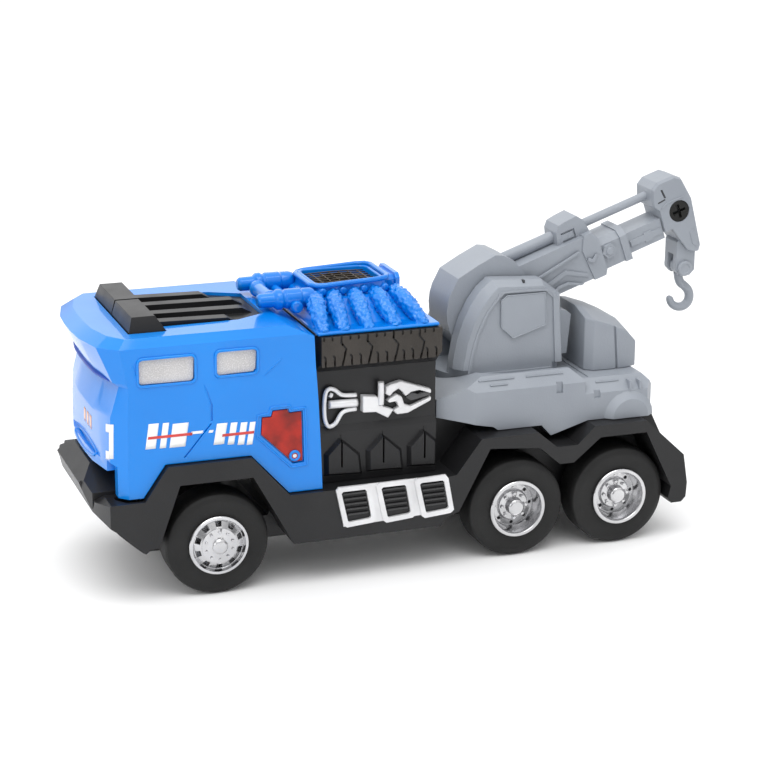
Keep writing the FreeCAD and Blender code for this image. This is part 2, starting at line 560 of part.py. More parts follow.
mid = Node("mid_body")
LUG = D("deck_half")
mid.pad("YZ_Plane", [[(-19.2, 22.25), (19.2, 22.25), (19.2, 34.2), (18.4, 35.6), (18.4, 48.6), (22.1, 52.1),
                     (22.1, EB - 0.05), (-22.1, EB - 0.05), (-22.1, 52.1), (-18.4, 48.6), (-18.4, 35.6), (-19.2, 34.2)]], -8.6, 20.3)
mid.cut("XY_Plane", [box(-4.0, 16.0, -14.0, 14.0)], 20.0, 52.0)
for i in range(3):
    dx = -10.1 * i
    rib = [(18.9 + dx, 29.2), (15.1 + dx, 32.9), (13.7 + dx, 31.8), (10.1 + dx, 28.6), (9.5 + dx, 23.6), (18.8 + dx, 24.0)]
    if i == 2:
        rib = [(-1.3, 29.2), (-5.1, 32.9), (-6.5, 31.8), (-8.55, 30.0), (-8.55, 23.6), (-1.4, 24.0)]
    c = (sum(p[0] for p in rib) / 6, sum(p[1] for p in rib) / 6)
    small = [(c[0] + (x - c[0]) * 0.8, c[1] + (z - c[1]) * 0.84) for x, z in rib]
    r_ = mid.loft("XZ_Plane", [(-19.15, rib), (-20.4, small)])
    mid.mirror([r_])
    sl = mid.cut("XZ_Plane", [[(15.0 + dx, 33.4), (14.6 + dx, 33.4), (14.6 + dx, 26.0), (15.0 + dx, 26.0)]], 19.0, 21.0)
    mid.mirror([sl])
# tyre-tread blocks along the upper edge
for i in range(5):
    x0 = 20.25 - 5.8 * i
    g = mid.cut("XZ_Plane", [[(x0 - 5.4, 58.5), (x0 - 5.8, 58.5), (x0 - 5.8, 56.4), (x0 - 5.0, 55.2), (x0 - 6.0, 53.6), (x0 - 5.6, 51.0),
                              (x0 - 5.1, 51.0), (x0 - 5.4, 53.5), (x0 - 4.4, 55.2), (x0 - 5.4, 56.6)]] if i < 4 else
                [[(-8.2, 55.2), (-8.2, 54.6), (-4.4, 54.6), (-4.4, 55.2)]], 21.3, 23.0)
    mid.mirror([g])

# spreader tool relief in front of the recessed flank
for side in (1, -1):
    tr = Node("tool_relief_%s" % ("left" if side > 0 else "right"))
    lo, hi = (18.45, 19.5) if side > 0 else (-19.5, -18.45)
    tr.pad("XZ_Plane", [[(19.1, 45.3), (16.8, 45.0), (14.4, 43.6), (12.1, 42.9), (7.2, 42.4), (5.6, 45.9), (3.0, 44.8), (1.4, 45.9), (-0.4, 45.3),
                         (-3.2, 43.0), (-6.6, 42.2), (-3.6, 41.2), (1.0, 42.6), (1.4, 41.2), (-2.6, 39.8), (-4.2, 38.2), (-0.2, 37.3), (3.6, 37.2),
                         (7.0, 39.2), (12.3, 39.4), (14.3, 39.0), (17.6, 36.4), (19.4, 38.3)]], lo, hi)
    tr.cut("XZ_Plane", [[(17.6, 43.2), (14.6, 41.9), (14.6, 40.4), (17.6, 39.4)]], lo, hi)
    lo, hi = (19.4, 20.2) if side > 0 else (-20.2, -19.4)
    tr.pad("XZ_Plane", [circle(4.4, 41.6, 1.7), [(12.6, 42.6), (8.0, 42.2), (8.0, 39.6), (12.6, 39.8)]], lo, hi)

for side in (1, -1):
    st = Node("step_trim_%s" % ("left" if side > 0 else "right"))
    lo, hi = (SK + 0.02, SK + 0.25) if side > 0 else (-SK - 0.25, -SK - 0.02)
    lo2, hi2 = (SK + 0.15, SK + 0.75) if side > 0 else (-SK - 0.75, -SK - 0.15)
    st.pad("XZ_Plane", [[(17.3, 22.9), (-8.7, 22.9), (-10.2, 14.0), (15.9, 13.2)]], lo, hi)
    for x0 in (17.8, 8.2, -1.2):
        dz = (17.8 - x0) * 0.012
        o = [(x0, 22.3), (x0 - 0.7, 22.9), (x0 - 7.6, 22.9 + dz), (x0 - 8.3, 22.2), (x0 - 9.8, 14.3), (x0 - 9.0, 13.6), (x0 - 2.6, 13.1), (x0 - 1.8, 13.7)]
        w = [(x0 - 1.3, 21.4), (x0 - 1.7, 21.8), (x0 - 6.9, 21.8), (x0 - 7.3, 21.4), (x0 - 8.5, 15.1), (x0 - 8.1, 14.7), (x0 - 3.2, 14.3), (x0 - 2.8, 14.7)]
        st.pad("XZ_Plane", [o], lo2, hi2)
        st.cut("XZ_Plane", [w], lo if side > 0 else lo2, hi2 if side > 0 else hi)

# ---------------------------------------------------------------- crane deck and winch housing
FL = D("deck_floor")
DK = D("deck_half")
deck = Node("crane_deck")
deck.pad("XZ_Plane", [[(-9.9, 34.0), (-9.9, 38.3), (-20.5, 43.3), (-43.0, 43.3), (-46.5, 40.3), (-62.0, 40.3), (-65.0, 37.2), (-65.0, 30.75),
                       (-23.8, 30.75), (-22.7, 31.6), (-16.2, 32.95)]], -DK, DK)
fin = deck.pad("XZ_Plane", [[(-34.9, 30.8), (-37.4, 28.0), (-47.0, 30.8)]], SP + 0.05, DK)
deck.mirror([fin])
bev = [deck.cut("YZ_Plane", [[(DK - 3.0, 43.35), (DK + 0.1, 43.35), (DK + 0.1, 40.2)]], -46.6, -9.0),
       deck.cut("YZ_Plane", [[(DK - 3.0, 40.35), (DK + 0.1, 40.35), (DK + 0.1, 37.2)]], -66.0, -46.0),
       deck.cut("XY_Plane", [[(-9.0, 15.4), (-9.0, 21.0), (-18.9, 21.0), (-18.1, 20.02)]], 30.0, 44.0),
       deck.cut("XZ_Plane", [box(-40.2, -38.6, 38.2, 41.5), box(-50.0, -48.4, 36.0, 38.8)], DK - 0.6, DK + 1.0),
       deck.cut("XY_Plane", [[(-66.0, 16.0), (-66.0, 21.0), (-62.0, 21.0), (-62.4, 20.02), (-65.02, 16.6)]], 30.0, 41.0)]
for b_ in bev:
    deck.mirror([b_])
dome = [(-57.5 + 6.5 * math.cos(math.radians(15 * i)), 30.8 + 6.3 * math.sin(math.radians(15 * i))) for i in range(13)]
dome_s = [(-57.5 + 4.6 * math.cos(math.radians(15 * i)), 30.8 + 4.6 * math.sin(math.radians(15 * i))) for i in range(13)]
d_ = deck.loft("XZ_Plane", [(-(DK - 0.1), dome), (-(DK + 1.5), dome_s)])
deck.mirror([d_])
deck.cut("XY_Plane", [circle(D("turret_x"), 0, D("turret_radius") + 0.6)], FL, 45.0)
deck.cut("XY_Plane", [box(-48.6, -34.0, -(DK - 3.9), DK - 3.9)], FL, 45.0)
deck.cut("XY_Plane", [circle(D("turret_x"), 0, D("spindle_radius") + D("turret_fit"))], 30.0, 45.0)
deck.cut("XY_Plane", [circle(D("turret_x"), 0, 8.0)], 30.0, FL - 3.5)

housing = Node("winch_housing")
housing.loft("YZ_Plane", [(x, [(-w, FL + 0.35), (w, FL + 0.35), (w, z - 1.7), (w * 0.42, z), (-w * 0.42, z), (-w, z - 1.7)])
                          for x, z, w in ((-63.9, 47.0, 9.6), (-63.2, 48.2, 11.0), (-60.4, 51.0, 12.2), (-56.4, 52.9, 12.4), (-51.6, 54.6, 12.2), (-49.7, 55.0, 10.6))])
hg = housing.cut("XZ_Plane", [[(-56.0, 56.0), (-55.5, 56.0), (-56.6, 52.0), (-57.6, 40.0), (-58.1, 40.0), (-57.1, 52.0)]], 11.7, 13.0)
housing.mirror([hg])
housing.cut("XY_Plane", [box(-60.0, -52.0, -8.6, 8.6)], 40.0, 47.6)

# ---------------------------------------------------------------- turret
TX = D("turret_x")
TR = D("turret_radius")
CI, CO = D("cheek_in"), D("cheek_out")
PX, PZ = D("pivot_x"), D("pivot_z")
turret = Node("turret_body")
turret.pad("XY_Plane", [circle(TX, 0, TR)], FL + 0.2, FL + 1.9)
OUT = [(-17.8, 40.4), (-18.2, 45.0), (-19.1, 50.2), (-20.6, 54.6), (-22.4, 58.2), (-24.4, 60.8), (-26.6, 63.0), (-38.0, 62.5), (-42.0, 59.5), (-43.3, 42.7), (-43.3, 40.4)]
INN = [(-15.9, 40.4), (-16.3, 45.4), (-17.3, 50.8), (-18.8, 55.3), (-20.8, 59.2), (-23.0, 62.2), (-25.6, 64.4), (-38.4, 63.6), (-43.2, 59.8), (-44.2, 42.7), (-44.2, 40.4)]
ch = [turret.pad("XZ_Plane", [INN], CI, CO - 2.2), turret.loft("XZ_Plane", [(-(CO - 2.25), INN), (-CO, OUT)])]
for c_ in ch:
    turret.mirror([c_])
rec = turret.cut("XZ_Plane", [[(-20.0, 42.4), (-20.6, 47.0), (-22.0, 52.0), (-24.2, 56.8), (-27.0, 60.4), (-28.2, 61.4), (-38.6, 61.2), (-40.6, 59.4), (-41.6, 42.4)]],
                CO - 0.5, CO + 1.0)
turret.mirror([rec])
pan = turret.pad("XZ_Plane", [[(-27.4, 59.7), (-28.8, 60.8), (-38.5, 60.8), (-38.9, 53.0), (-30.6, 50.4), (-27.5, 53.2)]], CO - 0.6, CO)
turret.mirror([pan])
# low part of the cheeks kept inside the well of the deck
turret.cut("XY_Plane", [circle(TX, 0, 40.0), circle(TX, 0, TR)], 39.0, FL + 3.5)
turret.pad("XZ_Plane", [[(-43.5, FL + 3.7), (-47.0, FL + 3.7), (-47.9, 53.4), (-46.6, 54.4), (-43.5, 54.6)]], -6.6, 6.6)
turret.pad("XZ_Plane", [[(-43.0, FL + 1.8), (-43.9, FL + 1.8), (-43.9, 54.6), (-43.0, 54.6)]], -6.6, 6.6)
turret.pad("XY_Plane", [circle(TX, 0, D("spindle_radius"))], FL - 3.6, FL + 1.0)
turret.cut("XY_Plane", [circle(TX, 0, 1.0)], FL - 4.0, FL + 1.2)
turret.cut("XZ_Plane", [circle(PX, PZ, D("pin_radius"))], -11.0, 11.0)

part_node("turret_screw", screw(VAL["turret_x"], 0.0, VAL["deck_floor"] - 5.7, True, 2.2, 1.1, 0.98, 6.4))
ret = Node("turret_retainer")
ret.pad("XY_Plane", [circle(TX, 0, 6.4), circle(TX, 0, 1.05)], FL - 4.6, FL - 3.7)

pin = Node("boom_pivot_pin")
pin.pad("XZ_Plane", [circle(PX, PZ, D("pin_radius"))], -10.9, 10.9)

# ---------------------------------------------------------------- boom, drawn level and placed at its angle
ANG = D("boom_angle")
BH, IH, KH = D("boom_half"), D("inner_half"), D("knuckle_half")
RZ = D("ram_z")


def boom_node(label):
    return Node(label, PX, 0.0, PZ, ANG)


bo = boom_node("boom_outer")
KR = VAL["knuckle_radius"]
kn = [(KR * math.cos(math.radians(a)), KR * math.sin(math.radians(a))) for a in range(-150, 41, 10)]
bo.pad("XZ_Plane", [kn + [(6.4, 10.9), (0.9, 11.9), (-4.1, 12.5), (-5.9, 11.6), (-8.0, 9.4), (-9.6, 5.4), (-9.6, -6.0)]], -KH, KH)
bo.pad("XZ_Plane", [[(-6.0, -3.5), (-28.9, -3.5), (-29.7, -2.4), (-29.6, 5.6), (-28.6, 7.4), (-6.0, 7.2)]], -BH, BH)
bo.pad("XZ_Plane", [[(-26.2, -3.8), (-29.3, -3.8), (-30.0, -2.5), (-29.9, 5.6), (-28.8, 7.7), (-26.6, 7.7), (-25.2, 4.4)]], -(BH + 0.35), BH + 0.35)
bo.pad("YZ_Plane", [[(-4.95, -2.7), (4.95, -2.7), (4.95, 3.4), (3.6, 4.9), (-3.6, 4.9), (-4.95, 3.4)]], -35.5, -29.0)
bo.pad("YZ_Plane", [[(-5.4, -2.9), (5.4, -2.9), (5.4, 3.6), (3.9, 5.2), (-3.9, 5.2), (-5.4, 3.6)]], -37.1, -35.3)
chev = [bo.pad("XZ_Plane", [[(-12.5, -1.9), (-14.4, 0.4), (-19.7, 1.6), (-24.8, -1.4), (-24.8, -2.4), (-19.6, 0.5), (-15.0, -0.6), (-14.0, -1.9)]], BH - 0.1, BH + 0.4),
        bo.pad("XZ_Plane", [[(-31.8 + 1.9 * math.cos(math.radians(60 * i)), 1.5 + 1.9 * math.sin(math.radians(60 * i))) for i in range(6)]], 4.9, 5.8)]
for c_ in chev:
    bo.mirror([c_])
# ram bracket on top
bo.pad("XZ_Plane", [[(-20.2, 6.8), (-20.9, 10.5), (-22.0, 11.9), (-24.0, 12.2), (-27.0, 12.4), (-28.4, 10.7), (-29.0, 8.0), (-29.0, 6.8)]], -3.6, 3.6)
g_ = bo.cut("XZ_Plane", [[(-21.9, 9.9), (-25.5, 9.9), (-25.5, 7.4), (-21.9, 7.4), (-21.9, 7.9), (-25.0, 7.9), (-25.0, 9.4), (-21.9, 9.4)]], 3.1, 4.0)
bo.mirror([g_])
# channel of the sliding boom, bore of the ram, bore of the pivot
SF = D("slide_fit")
bo.cut("YZ_Plane", [[(-(IH + SF), -2.1 - SF), (IH + SF, -2.1 - SF), (IH + SF, 3.1 + SF), (-(IH + SF), 3.1 + SF)]], -38.0, -5.2)
bo.cut("YZ_Plane", [circle(0, RZ, D("barrel_radius"))], -24.0, -4.0)
bo.cut("YZ_Plane", [circle(0, RZ, D("rod_radius") + 0.08)], -30.0, -23.5)
bo.cut("XZ_Plane", [circle(0, 0, D("pin_radius") + D("pin_fit"))], -7.0, 7.0)

barrel = boom_node("ram_barrel")
barrel.pad("YZ_Plane", [circle(0, RZ, D("barrel_radius")), circle(0, RZ, D("rod_radius") + 0.08)], -24.0, -4.05)

rod = boom_node("piston_rod")
rod.pad("YZ_Plane", [circle(0, RZ, D("rod_radius"))], -49.0, -11.0)

# sliding boom with the far half of the head; the near half is a screwed cover
HEADP = [(-46.4, 8.0), (-47.2, 10.7), (-49.0, 11.8), (-53.6, 11.8), (-55.2, 10.6), (-56.4, 5.0), (-55.4, -7.7), (-54.6, -8.9), (-53.2, -8.6),
         (-51.7, -7.4), (-50.3, -3.1), (-49.5, -0.8), (-47.3, -0.6), (-47.4, 5.2), (-46.4, 6.4)]
SPLIT = 0.3
bi = boom_node("boom_inner")
bi.pad("XZ_Plane", [[(-12.0, -2.1), (-48.4, -2.1), (-48.4, 3.1), (-12.0, 3.1)]], -IH, IH)
HH = D("head_half")
bi.pad("XZ_Plane", [HEADP], -HH, SPLIT)
bi.cut("XY_Plane", [box(-60.0, -47.2, SPLIT, 6.0)], -3.0, 6.0)
bi.cut("YZ_Plane", [circle(0, RZ, D("rod_radius"))], -49.0, -43.0)
bi.cut("XZ_Plane", [circle(-52.4, 3.0, 0.95)], -3.5, SPLIT)

TH = math.radians(VAL["boom_angle"])


def level(x, z):
    """A point of the truck's frame, in the boom's own frame."""
    dx, dz = x - VAL["pivot_x"], z - VAL["pivot_z"]
    return (dx * math.cos(TH) - dz * math.sin(TH), dx * math.sin(TH) + dz * math.cos(TH))


SOCKET = [level(x, z) for x, z in ((-77.38, 60.0), (-77.38, 68.02), (-77.98, 68.62), (-81.42, 68.62), (-82.52, 67.42), (-82.52, 60.0))]
bi.cut("XZ_Plane", [SOCKET], -3.12, SPLIT)

cov = boom_node("head_cover")
cov.pad("XZ_Plane", [HEADP], SPLIT, HH - 0.9)
cov.loft("XZ_Plane", [(-(HH - 0.95), HEADP), (-HH, [(x * 0.96 - 2.08, z * 0.955 + 0.1) for x, z in HEADP])])
cov.cut("YZ_Plane", [circle(0, RZ, D("rod_radius"))], -49.0, -43.0)
cov.cut("XZ_Plane", [SOCKET], SPLIT, 3.12)
cov.cut("XZ_Plane", [circle(-52.4, 3.0, 1.0)], SPLIT - 0.1, HH + 0.2)
cov.cut("XZ_Plane", [circle(-52.4, 3.0, 2.7)], HH - 1.3, HH + 0.2)
rail = bi.pad("XZ_Plane", [[(-46.9, -0.6), (-44.2, -0.6), (-44.2, -1.1), (-42.0, -1.1), (-42.0, -0.6), (-38.2, -0.6), (-38.2, 0.9), (-42.0, 0.9),
                            (-42.0, 1.4), (-44.2, 1.4), (-44.2, 0.9), (-46.9, 0.9)]], IH - 0.1, IH + 0.3)
bi.mirror([rail])

hs = boom_node("head_screw")
hs.pad("XZ_Plane", [circle(-52.4, 3.0, 2.62)], HH - 1.28, HH - 0.1)
hs.pad("XZ_Plane", [circle(-52.4, 3.0, 0.94)], -3.3, HH - 1.2)
hs.cut("XZ_Plane", [[(-54.1, 3.3), (-54.1, 2.7), (-52.7, 2.7), (-52.7, 1.3), (-52.1, 1.3), (-52.1, 2.7), (-50.7, 2.7), (-50.7, 3.3),
                     (-52.1, 3.3), (-52.1, 4.7), (-52.7, 4.7), (-52.7, 3.3)]], HH - 0.9, HH + 0.2)

# ---------------------------------------------------------------- hook
HX, HZ, HR, HW = D("hook_x"), D("hook_z"), D("hook_pin_radius"), D("hook_wire")
yoke = Node("hook_yoke")
yoke.pad("XZ_Plane", [[(-77.4, 60.8), (-77.4, 68.0), (-78.0, 68.6), (-81.4, 68.6), (-82.5, 67.4), (-82.5, 60.8), (-81.2, 59.5), (-78.6, 59.5)]], -3.1, 3.1)
yoke.cut("YZ_Plane", [box(-1.4, 1.4, 58.0, 64.6)], -84.0, -74.0)
yoke.pad("XZ_Plane", [circle(HX, HZ, 1.75)], 3.0, 3.7)
yoke.cut("XZ_Plane", [circle(HX, HZ, HR)], -4.0, 3.4)

hp = Node("hook_pin")
hp.pad("XZ_Plane", [circle(HX, HZ, HR)], -3.0, 3.35)

pts = [V(VAL["hook_x"], 0, VAL["hook_z"]), V(-79.9, 0, 58.0), V(-80.3, 0, 56.9), V(-81.6, 0, 56.0), V(-82.7, 0, 54.9), V(-83.1, 0, 53.5),
       V(-82.8, 0, 52.1), V(-81.9, 0, 51.1), V(-80.6, 0, 50.8), V(-79.3, 0, 51.1), V(-78.2, 0, 51.9), V(-77.6, 0, 53.2)]
wire_r = VAL["hook_wire"]
bits = []
for i in range(1, len(pts)):
    r0 = wire_r - 0.25 * max(0, i - 8) / 3.0
    bits.append(Part.makeCylinder(r0, (pts[i] - pts[i - 1]).Length, pts[i - 1], pts[i] - pts[i - 1]))
    bits.append(Part.makeSphere(r0, pts[i]))
hook_shape = Part.makeCylinder(1.75, 2.1, V(VAL["hook_x"], -1.05, VAL["hook_z"]), V(0, 1, 0))
hook_shape = hook_shape.fuse(bits)
hook_shape = hook_shape.cut(Part.makeCylinder(VAL["hook_pin_radius"] + 0.06, 4.0, V(VAL["hook_x"], -2.0, VAL["hook_z"]), V(0, 1, 0)))
if len(hook_shape.Solids) != 1 or not hook_shape.isValid():
    raise RuntimeError("the hook is not one solid")
part_node("hook", hook_shape)


# ---------------------------------------------------------------- checks and files
doc.recompute()
bad = []
for o in doc.Objects:
    if "Invalid" in o.State or "Error" in o.State:
        bad.append("%s %s" % (o.Name, o.State))
for b in NODES:
    if b.Shape.isNull() or not b.Shape.isValid():
        bad.append("%s has no valid shape" % b.Label)
if bad:
    raise RuntimeError("; ".join(bad))
os.makedirs("parts", exist_ok=True)
for b in NODES:
    b.Shape.exportStep("parts/%s.step" % b.Label)
    print("%-24s solids %d volume %.1f" % (b.Label, len(b.Shape.Solids), b.Shape.Volume))
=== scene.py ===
import bpy
import bmesh
import json
import math
import random
from mathutils import Vector, Matrix
from mathutils import noise as mnoise
from mathutils.bvhtree import BVHTree


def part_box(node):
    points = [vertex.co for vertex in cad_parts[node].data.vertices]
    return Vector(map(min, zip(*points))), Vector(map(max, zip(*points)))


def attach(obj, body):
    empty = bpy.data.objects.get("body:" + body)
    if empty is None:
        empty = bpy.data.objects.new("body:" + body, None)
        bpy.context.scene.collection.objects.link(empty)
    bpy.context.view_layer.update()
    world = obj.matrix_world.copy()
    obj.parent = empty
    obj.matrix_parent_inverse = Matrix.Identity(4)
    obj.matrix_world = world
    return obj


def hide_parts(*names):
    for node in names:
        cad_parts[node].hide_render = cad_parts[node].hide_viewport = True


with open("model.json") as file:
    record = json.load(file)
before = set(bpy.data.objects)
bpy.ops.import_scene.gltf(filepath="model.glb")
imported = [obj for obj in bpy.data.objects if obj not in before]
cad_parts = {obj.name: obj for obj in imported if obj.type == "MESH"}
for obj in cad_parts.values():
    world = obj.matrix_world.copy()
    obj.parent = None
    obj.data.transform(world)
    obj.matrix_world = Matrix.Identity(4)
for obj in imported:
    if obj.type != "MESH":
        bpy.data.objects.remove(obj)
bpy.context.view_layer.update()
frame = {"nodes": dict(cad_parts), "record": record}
nodes = frame["nodes"]


# ---------------------------------------------------------------- frame helpers
# The drawing frame has its front axle at x = 45 mm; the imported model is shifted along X.
lo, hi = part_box("front_hub_left")
OX = (lo.x + hi.x) / 2.0 * 1000.0 - 45.0
MM = 0.001
scene = bpy.context.scene


def P(x, y, z):
    return Vector(((x + OX) * MM, y * MM, z * MM))


# ---------------------------------------------------------------- materials
def node(nt, kind, **kw):
    n = nt.nodes.new(kind)
    for k, v in kw.items():
        setattr(n, k, v)
    return n


def ramp(nt, fac, stops, interp="LINEAR"):
    r = nt.nodes.new("ShaderNodeValToRGB")
    r.color_ramp.interpolation = interp
    el = r.color_ramp.elements
    while len(el) < len(stops):
        el.new(0.5)
    for e, (p, c) in zip(el, stops):
        e.position = p
        e.color = c if len(c) == 4 else (*c, 1.0)
    nt.links.new(fac, r.inputs[0])
    return r


def noise(nt, co, scale, detail=4.0, rough=0.55, distortion=0.0):
    n = nt.nodes.new("ShaderNodeTexNoise")
    n.inputs["Scale"].default_value = scale
    n.inputs["Detail"].default_value = detail
    n.inputs["Roughness"].default_value = rough
    n.inputs["Distortion"].default_value = distortion
    nt.links.new(co, n.inputs["Vector"])
    return n.outputs["Fac"]


def math_node(nt, op, a, b=None, clamp=False):
    n = nt.nodes.new("ShaderNodeMath")
    n.operation = op
    n.use_clamp = clamp
    for i, v in enumerate((a, b)):
        if v is None:
            continue
        if isinstance(v, (int, float)):
            n.inputs[i].default_value = v
        else:
            nt.links.new(v, n.inputs[i])
    return n.outputs[0]


def finish_mat(name, dark, light, rough, metallic=0.0, coat=0.0, coat_rough=0.05, spec=0.5, mottle=60.0, grain=1800.0,
               bump=0.02, grain_depth=0.00002, wear=None, wear_at=0.68, wear_scale=220.0, speck=None, sheen=0.0):
    """A moulded or painted finish: soft colour mottling, uneven gloss, fine grain in the surface and small worn or dusty places."""
    m = bpy.data.materials.new(name)
    m.use_nodes = True
    nt = m.node_tree
    b = nt.nodes["Principled BSDF"]
    co = nt.nodes.new("ShaderNodeTexCoord").outputs["Object"]
    big = noise(nt, co, mottle, 3.0)
    col = ramp(nt, big, [(0.3, dark), (0.7, light)]).outputs[0]
    if speck:
        s = noise(nt, co, speck[0], 2.0, 0.7)
        sr = ramp(nt, s, [(speck[1], (0, 0, 0)), (speck[1] + 0.12, (1, 1, 1))]).outputs[0]
        mx = nt.nodes.new("ShaderNodeMix")
        mx.data_type = "RGBA"
        nt.links.new(sr, mx.inputs[0])
        nt.links.new(col, mx.inputs[6])
        mx.inputs[7].default_value = (*speck[2], 1.0)
        col = mx.outputs[2]
    if wear:
        w = noise(nt, co, wear_scale, 6.0, 0.7, 0.4)
        wr = ramp(nt, w, [(wear_at, (0, 0, 0)), (wear_at + 0.05, (1, 1, 1))]).outputs[0]
        mx = nt.nodes.new("ShaderNodeMix")
        mx.data_type = "RGBA"
        nt.links.new(wr, mx.inputs[0])
        nt.links.new(col, mx.inputs[6])
        mx.inputs[7].default_value = (*wear, 1.0)
        col = mx.outputs[2]
    nt.links.new(col, b.inputs["Base Color"])
    g = noise(nt, co, mottle * 2.3, 5.0)
    rr = nt.nodes.new("ShaderNodeMapRange")
    rr.inputs["From Min"].default_value = 0.25
    rr.inputs["From Max"].default_value = 0.75
    rr.inputs["To Min"].default_value = rough[0]
    rr.inputs["To Max"].default_value = rough[1]
    nt.links.new(g, rr.inputs["Value"])
    nt.links.new(rr.outputs["Result"], b.inputs["Roughness"])
    fine = noise(nt, co, grain, 3.0, 0.6)
    bp = nt.nodes.new("ShaderNodeBump")
    bp.inputs["Strength"].default_value = 1.0
    bp.inputs["Distance"].default_value = grain_depth
    nt.links.new(fine, bp.inputs["Height"])
    if bump:
        soft = noise(nt, co, mottle * 4.0, 2.0)
        bp2 = nt.nodes.new("ShaderNodeBump")
        bp2.inputs["Strength"].default_value = 1.0
        bp2.inputs["Distance"].default_value = bump * 0.001
        nt.links.new(soft, bp2.inputs["Height"])
        nt.links.new(bp.outputs[0], bp2.inputs["Normal"])
        bp = bp2
    nt.links.new(bp.outputs[0], b.inputs["Normal"])
    b.inputs["Metallic"].default_value = metallic
    b.inputs["Specular IOR Level"].default_value = spec
    if coat:
        b.inputs["Coat Weight"].default_value = coat
        b.inputs["Coat Roughness"].default_value = coat_rough
    return m


M = {}
M["blue_paint"] = finish_mat("blue_paint", (0.0, 0.205, 0.70), (0.0, 0.235, 0.77), (0.34, 0.42), coat=0.75, coat_rough=0.04, spec=0.12, mottle=35.0,
                             grain=900.0, grain_depth=0.000006, bump=0.010, wear=(0.02, 0.30, 0.8), wear_at=0.78)
M["blue_plastic"] = finish_mat("blue_plastic", (0.0, 0.17, 0.64), (0.0, 0.225, 0.76), (0.26, 0.36), coat=0.9, coat_rough=0.05, spec=0.12, mottle=60.0,
                               grain=1500.0, grain_depth=0.00001, bump=0.03)
M["black_plastic"] = finish_mat("black_plastic", (0.009, 0.009, 0.010), (0.015, 0.015, 0.016), (0.30, 0.45), spec=0.36,
                                mottle=45.0, grain=2600.0, grain_depth=0.00003, bump=0.02, wear=(0.03, 0.03, 0.032), wear_at=0.72)
M["gloss_black"] = finish_mat("gloss_black", (0.006, 0.006, 0.007), (0.012, 0.012, 0.013), (0.18, 0.3), coat=0.4, coat_rough=0.1,
                              mottle=50.0, grain=1800.0, grain_depth=0.00001, bump=0.02, wear=(0.03, 0.03, 0.03), wear_at=0.76)
M["crane_grey"] = finish_mat("crane_grey", (0.265, 0.288, 0.325), (0.30, 0.325, 0.362), (0.40, 0.52), mottle=50.0, grain=2400.0,
                             grain_depth=0.00004, bump=0.02, spec=0.45, wear=(0.40, 0.42, 0.45), wear_at=0.74)
M["tyre_rubber"] = finish_mat("tyre_rubber", (0.009, 0.009, 0.009), (0.016, 0.016, 0.016), (0.48, 0.64), spec=0.32, mottle=70.0, grain=3000.0,
                              grain_depth=0.00004, bump=0.03, wear=(0.035, 0.034, 0.033), wear_at=0.70)
M["chrome_rim"] = finish_mat("chrome_rim", (0.50, 0.50, 0.51), (0.64, 0.64, 0.65), (0.14, 0.26), metallic=1.0, mottle=120.0, grain=1800.0,
                             grain_depth=0.00001, bump=0.01, wear=(0.40, 0.40, 0.41), wear_at=0.74)
M["pin_steel"] = finish_mat("pin_steel", (0.45, 0.45, 0.45), (0.6, 0.6, 0.6), (0.25, 0.4), metallic=1.0, mottle=200.0)
M["screw_steel"] = finish_mat("screw_steel", (0.5, 0.5, 0.47), (0.64, 0.63, 0.58), (0.3, 0.42), metallic=1.0, mottle=300.0)
M["black_screw"] = finish_mat("black_screw", (0.003, 0.003, 0.003), (0.007, 0.007, 0.006), (0.2, 0.35), spec=0.3, mottle=400.0,
                              wear=(0.12, 0.11, 0.09), wear_at=0.69, wear_scale=500.0)
M["window_grey"] = finish_mat("window_grey", (0.47, 0.455, 0.445), (0.60, 0.585, 0.57), (0.45, 0.6), mottle=90.0, grain=2600.0,
                              grain_depth=0.00008, bump=0.05, speck=(3600.0, 0.50, (0.72, 0.70, 0.69)))
M["badge_red"] = finish_mat("badge_red", (0.10, 0.004, 0.002), (0.52, 0.016, 0.004), (0.3, 0.4), metallic=0.1, coat=0.5, coat_rough=0.06, spec=0.15,
                            mottle=170.0, grain=2600.0, grain_depth=0.00002, bump=0.02, wear=(0.6, 0.07, 0.03), wear_at=0.74)
M["silver_trim"] = finish_mat("silver_trim", (0.66, 0.66, 0.67), (0.82, 0.82, 0.83), (0.3, 0.42), metallic=0.25, coat=0.3, coat_rough=0.2,
                              mottle=110.0, grain=2200.0, grain_depth=0.00003, bump=0.02, wear=(0.35, 0.35, 0.36), wear_at=0.74)
M["white_print"] = finish_mat("white_print", (0.78, 0.79, 0.80), (0.88, 0.88, 0.88), (0.3, 0.4), coat=0.5, mottle=90.0, grain=2600.0,
                              grain_depth=0.00001, bump=0.0, wear=(0.6, 0.65, 0.7), wear_at=0.76, wear_scale=500.0)
M["red_print"] = finish_mat("red_print", (0.52, 0.015, 0.01), (0.66, 0.03, 0.02), (0.3, 0.4), coat=0.5, mottle=90.0, grain=2600.0,
                            grain_depth=0.00001, bump=0.0, wear=(0.4, 0.1, 0.1), wear_at=0.76, wear_scale=500.0)

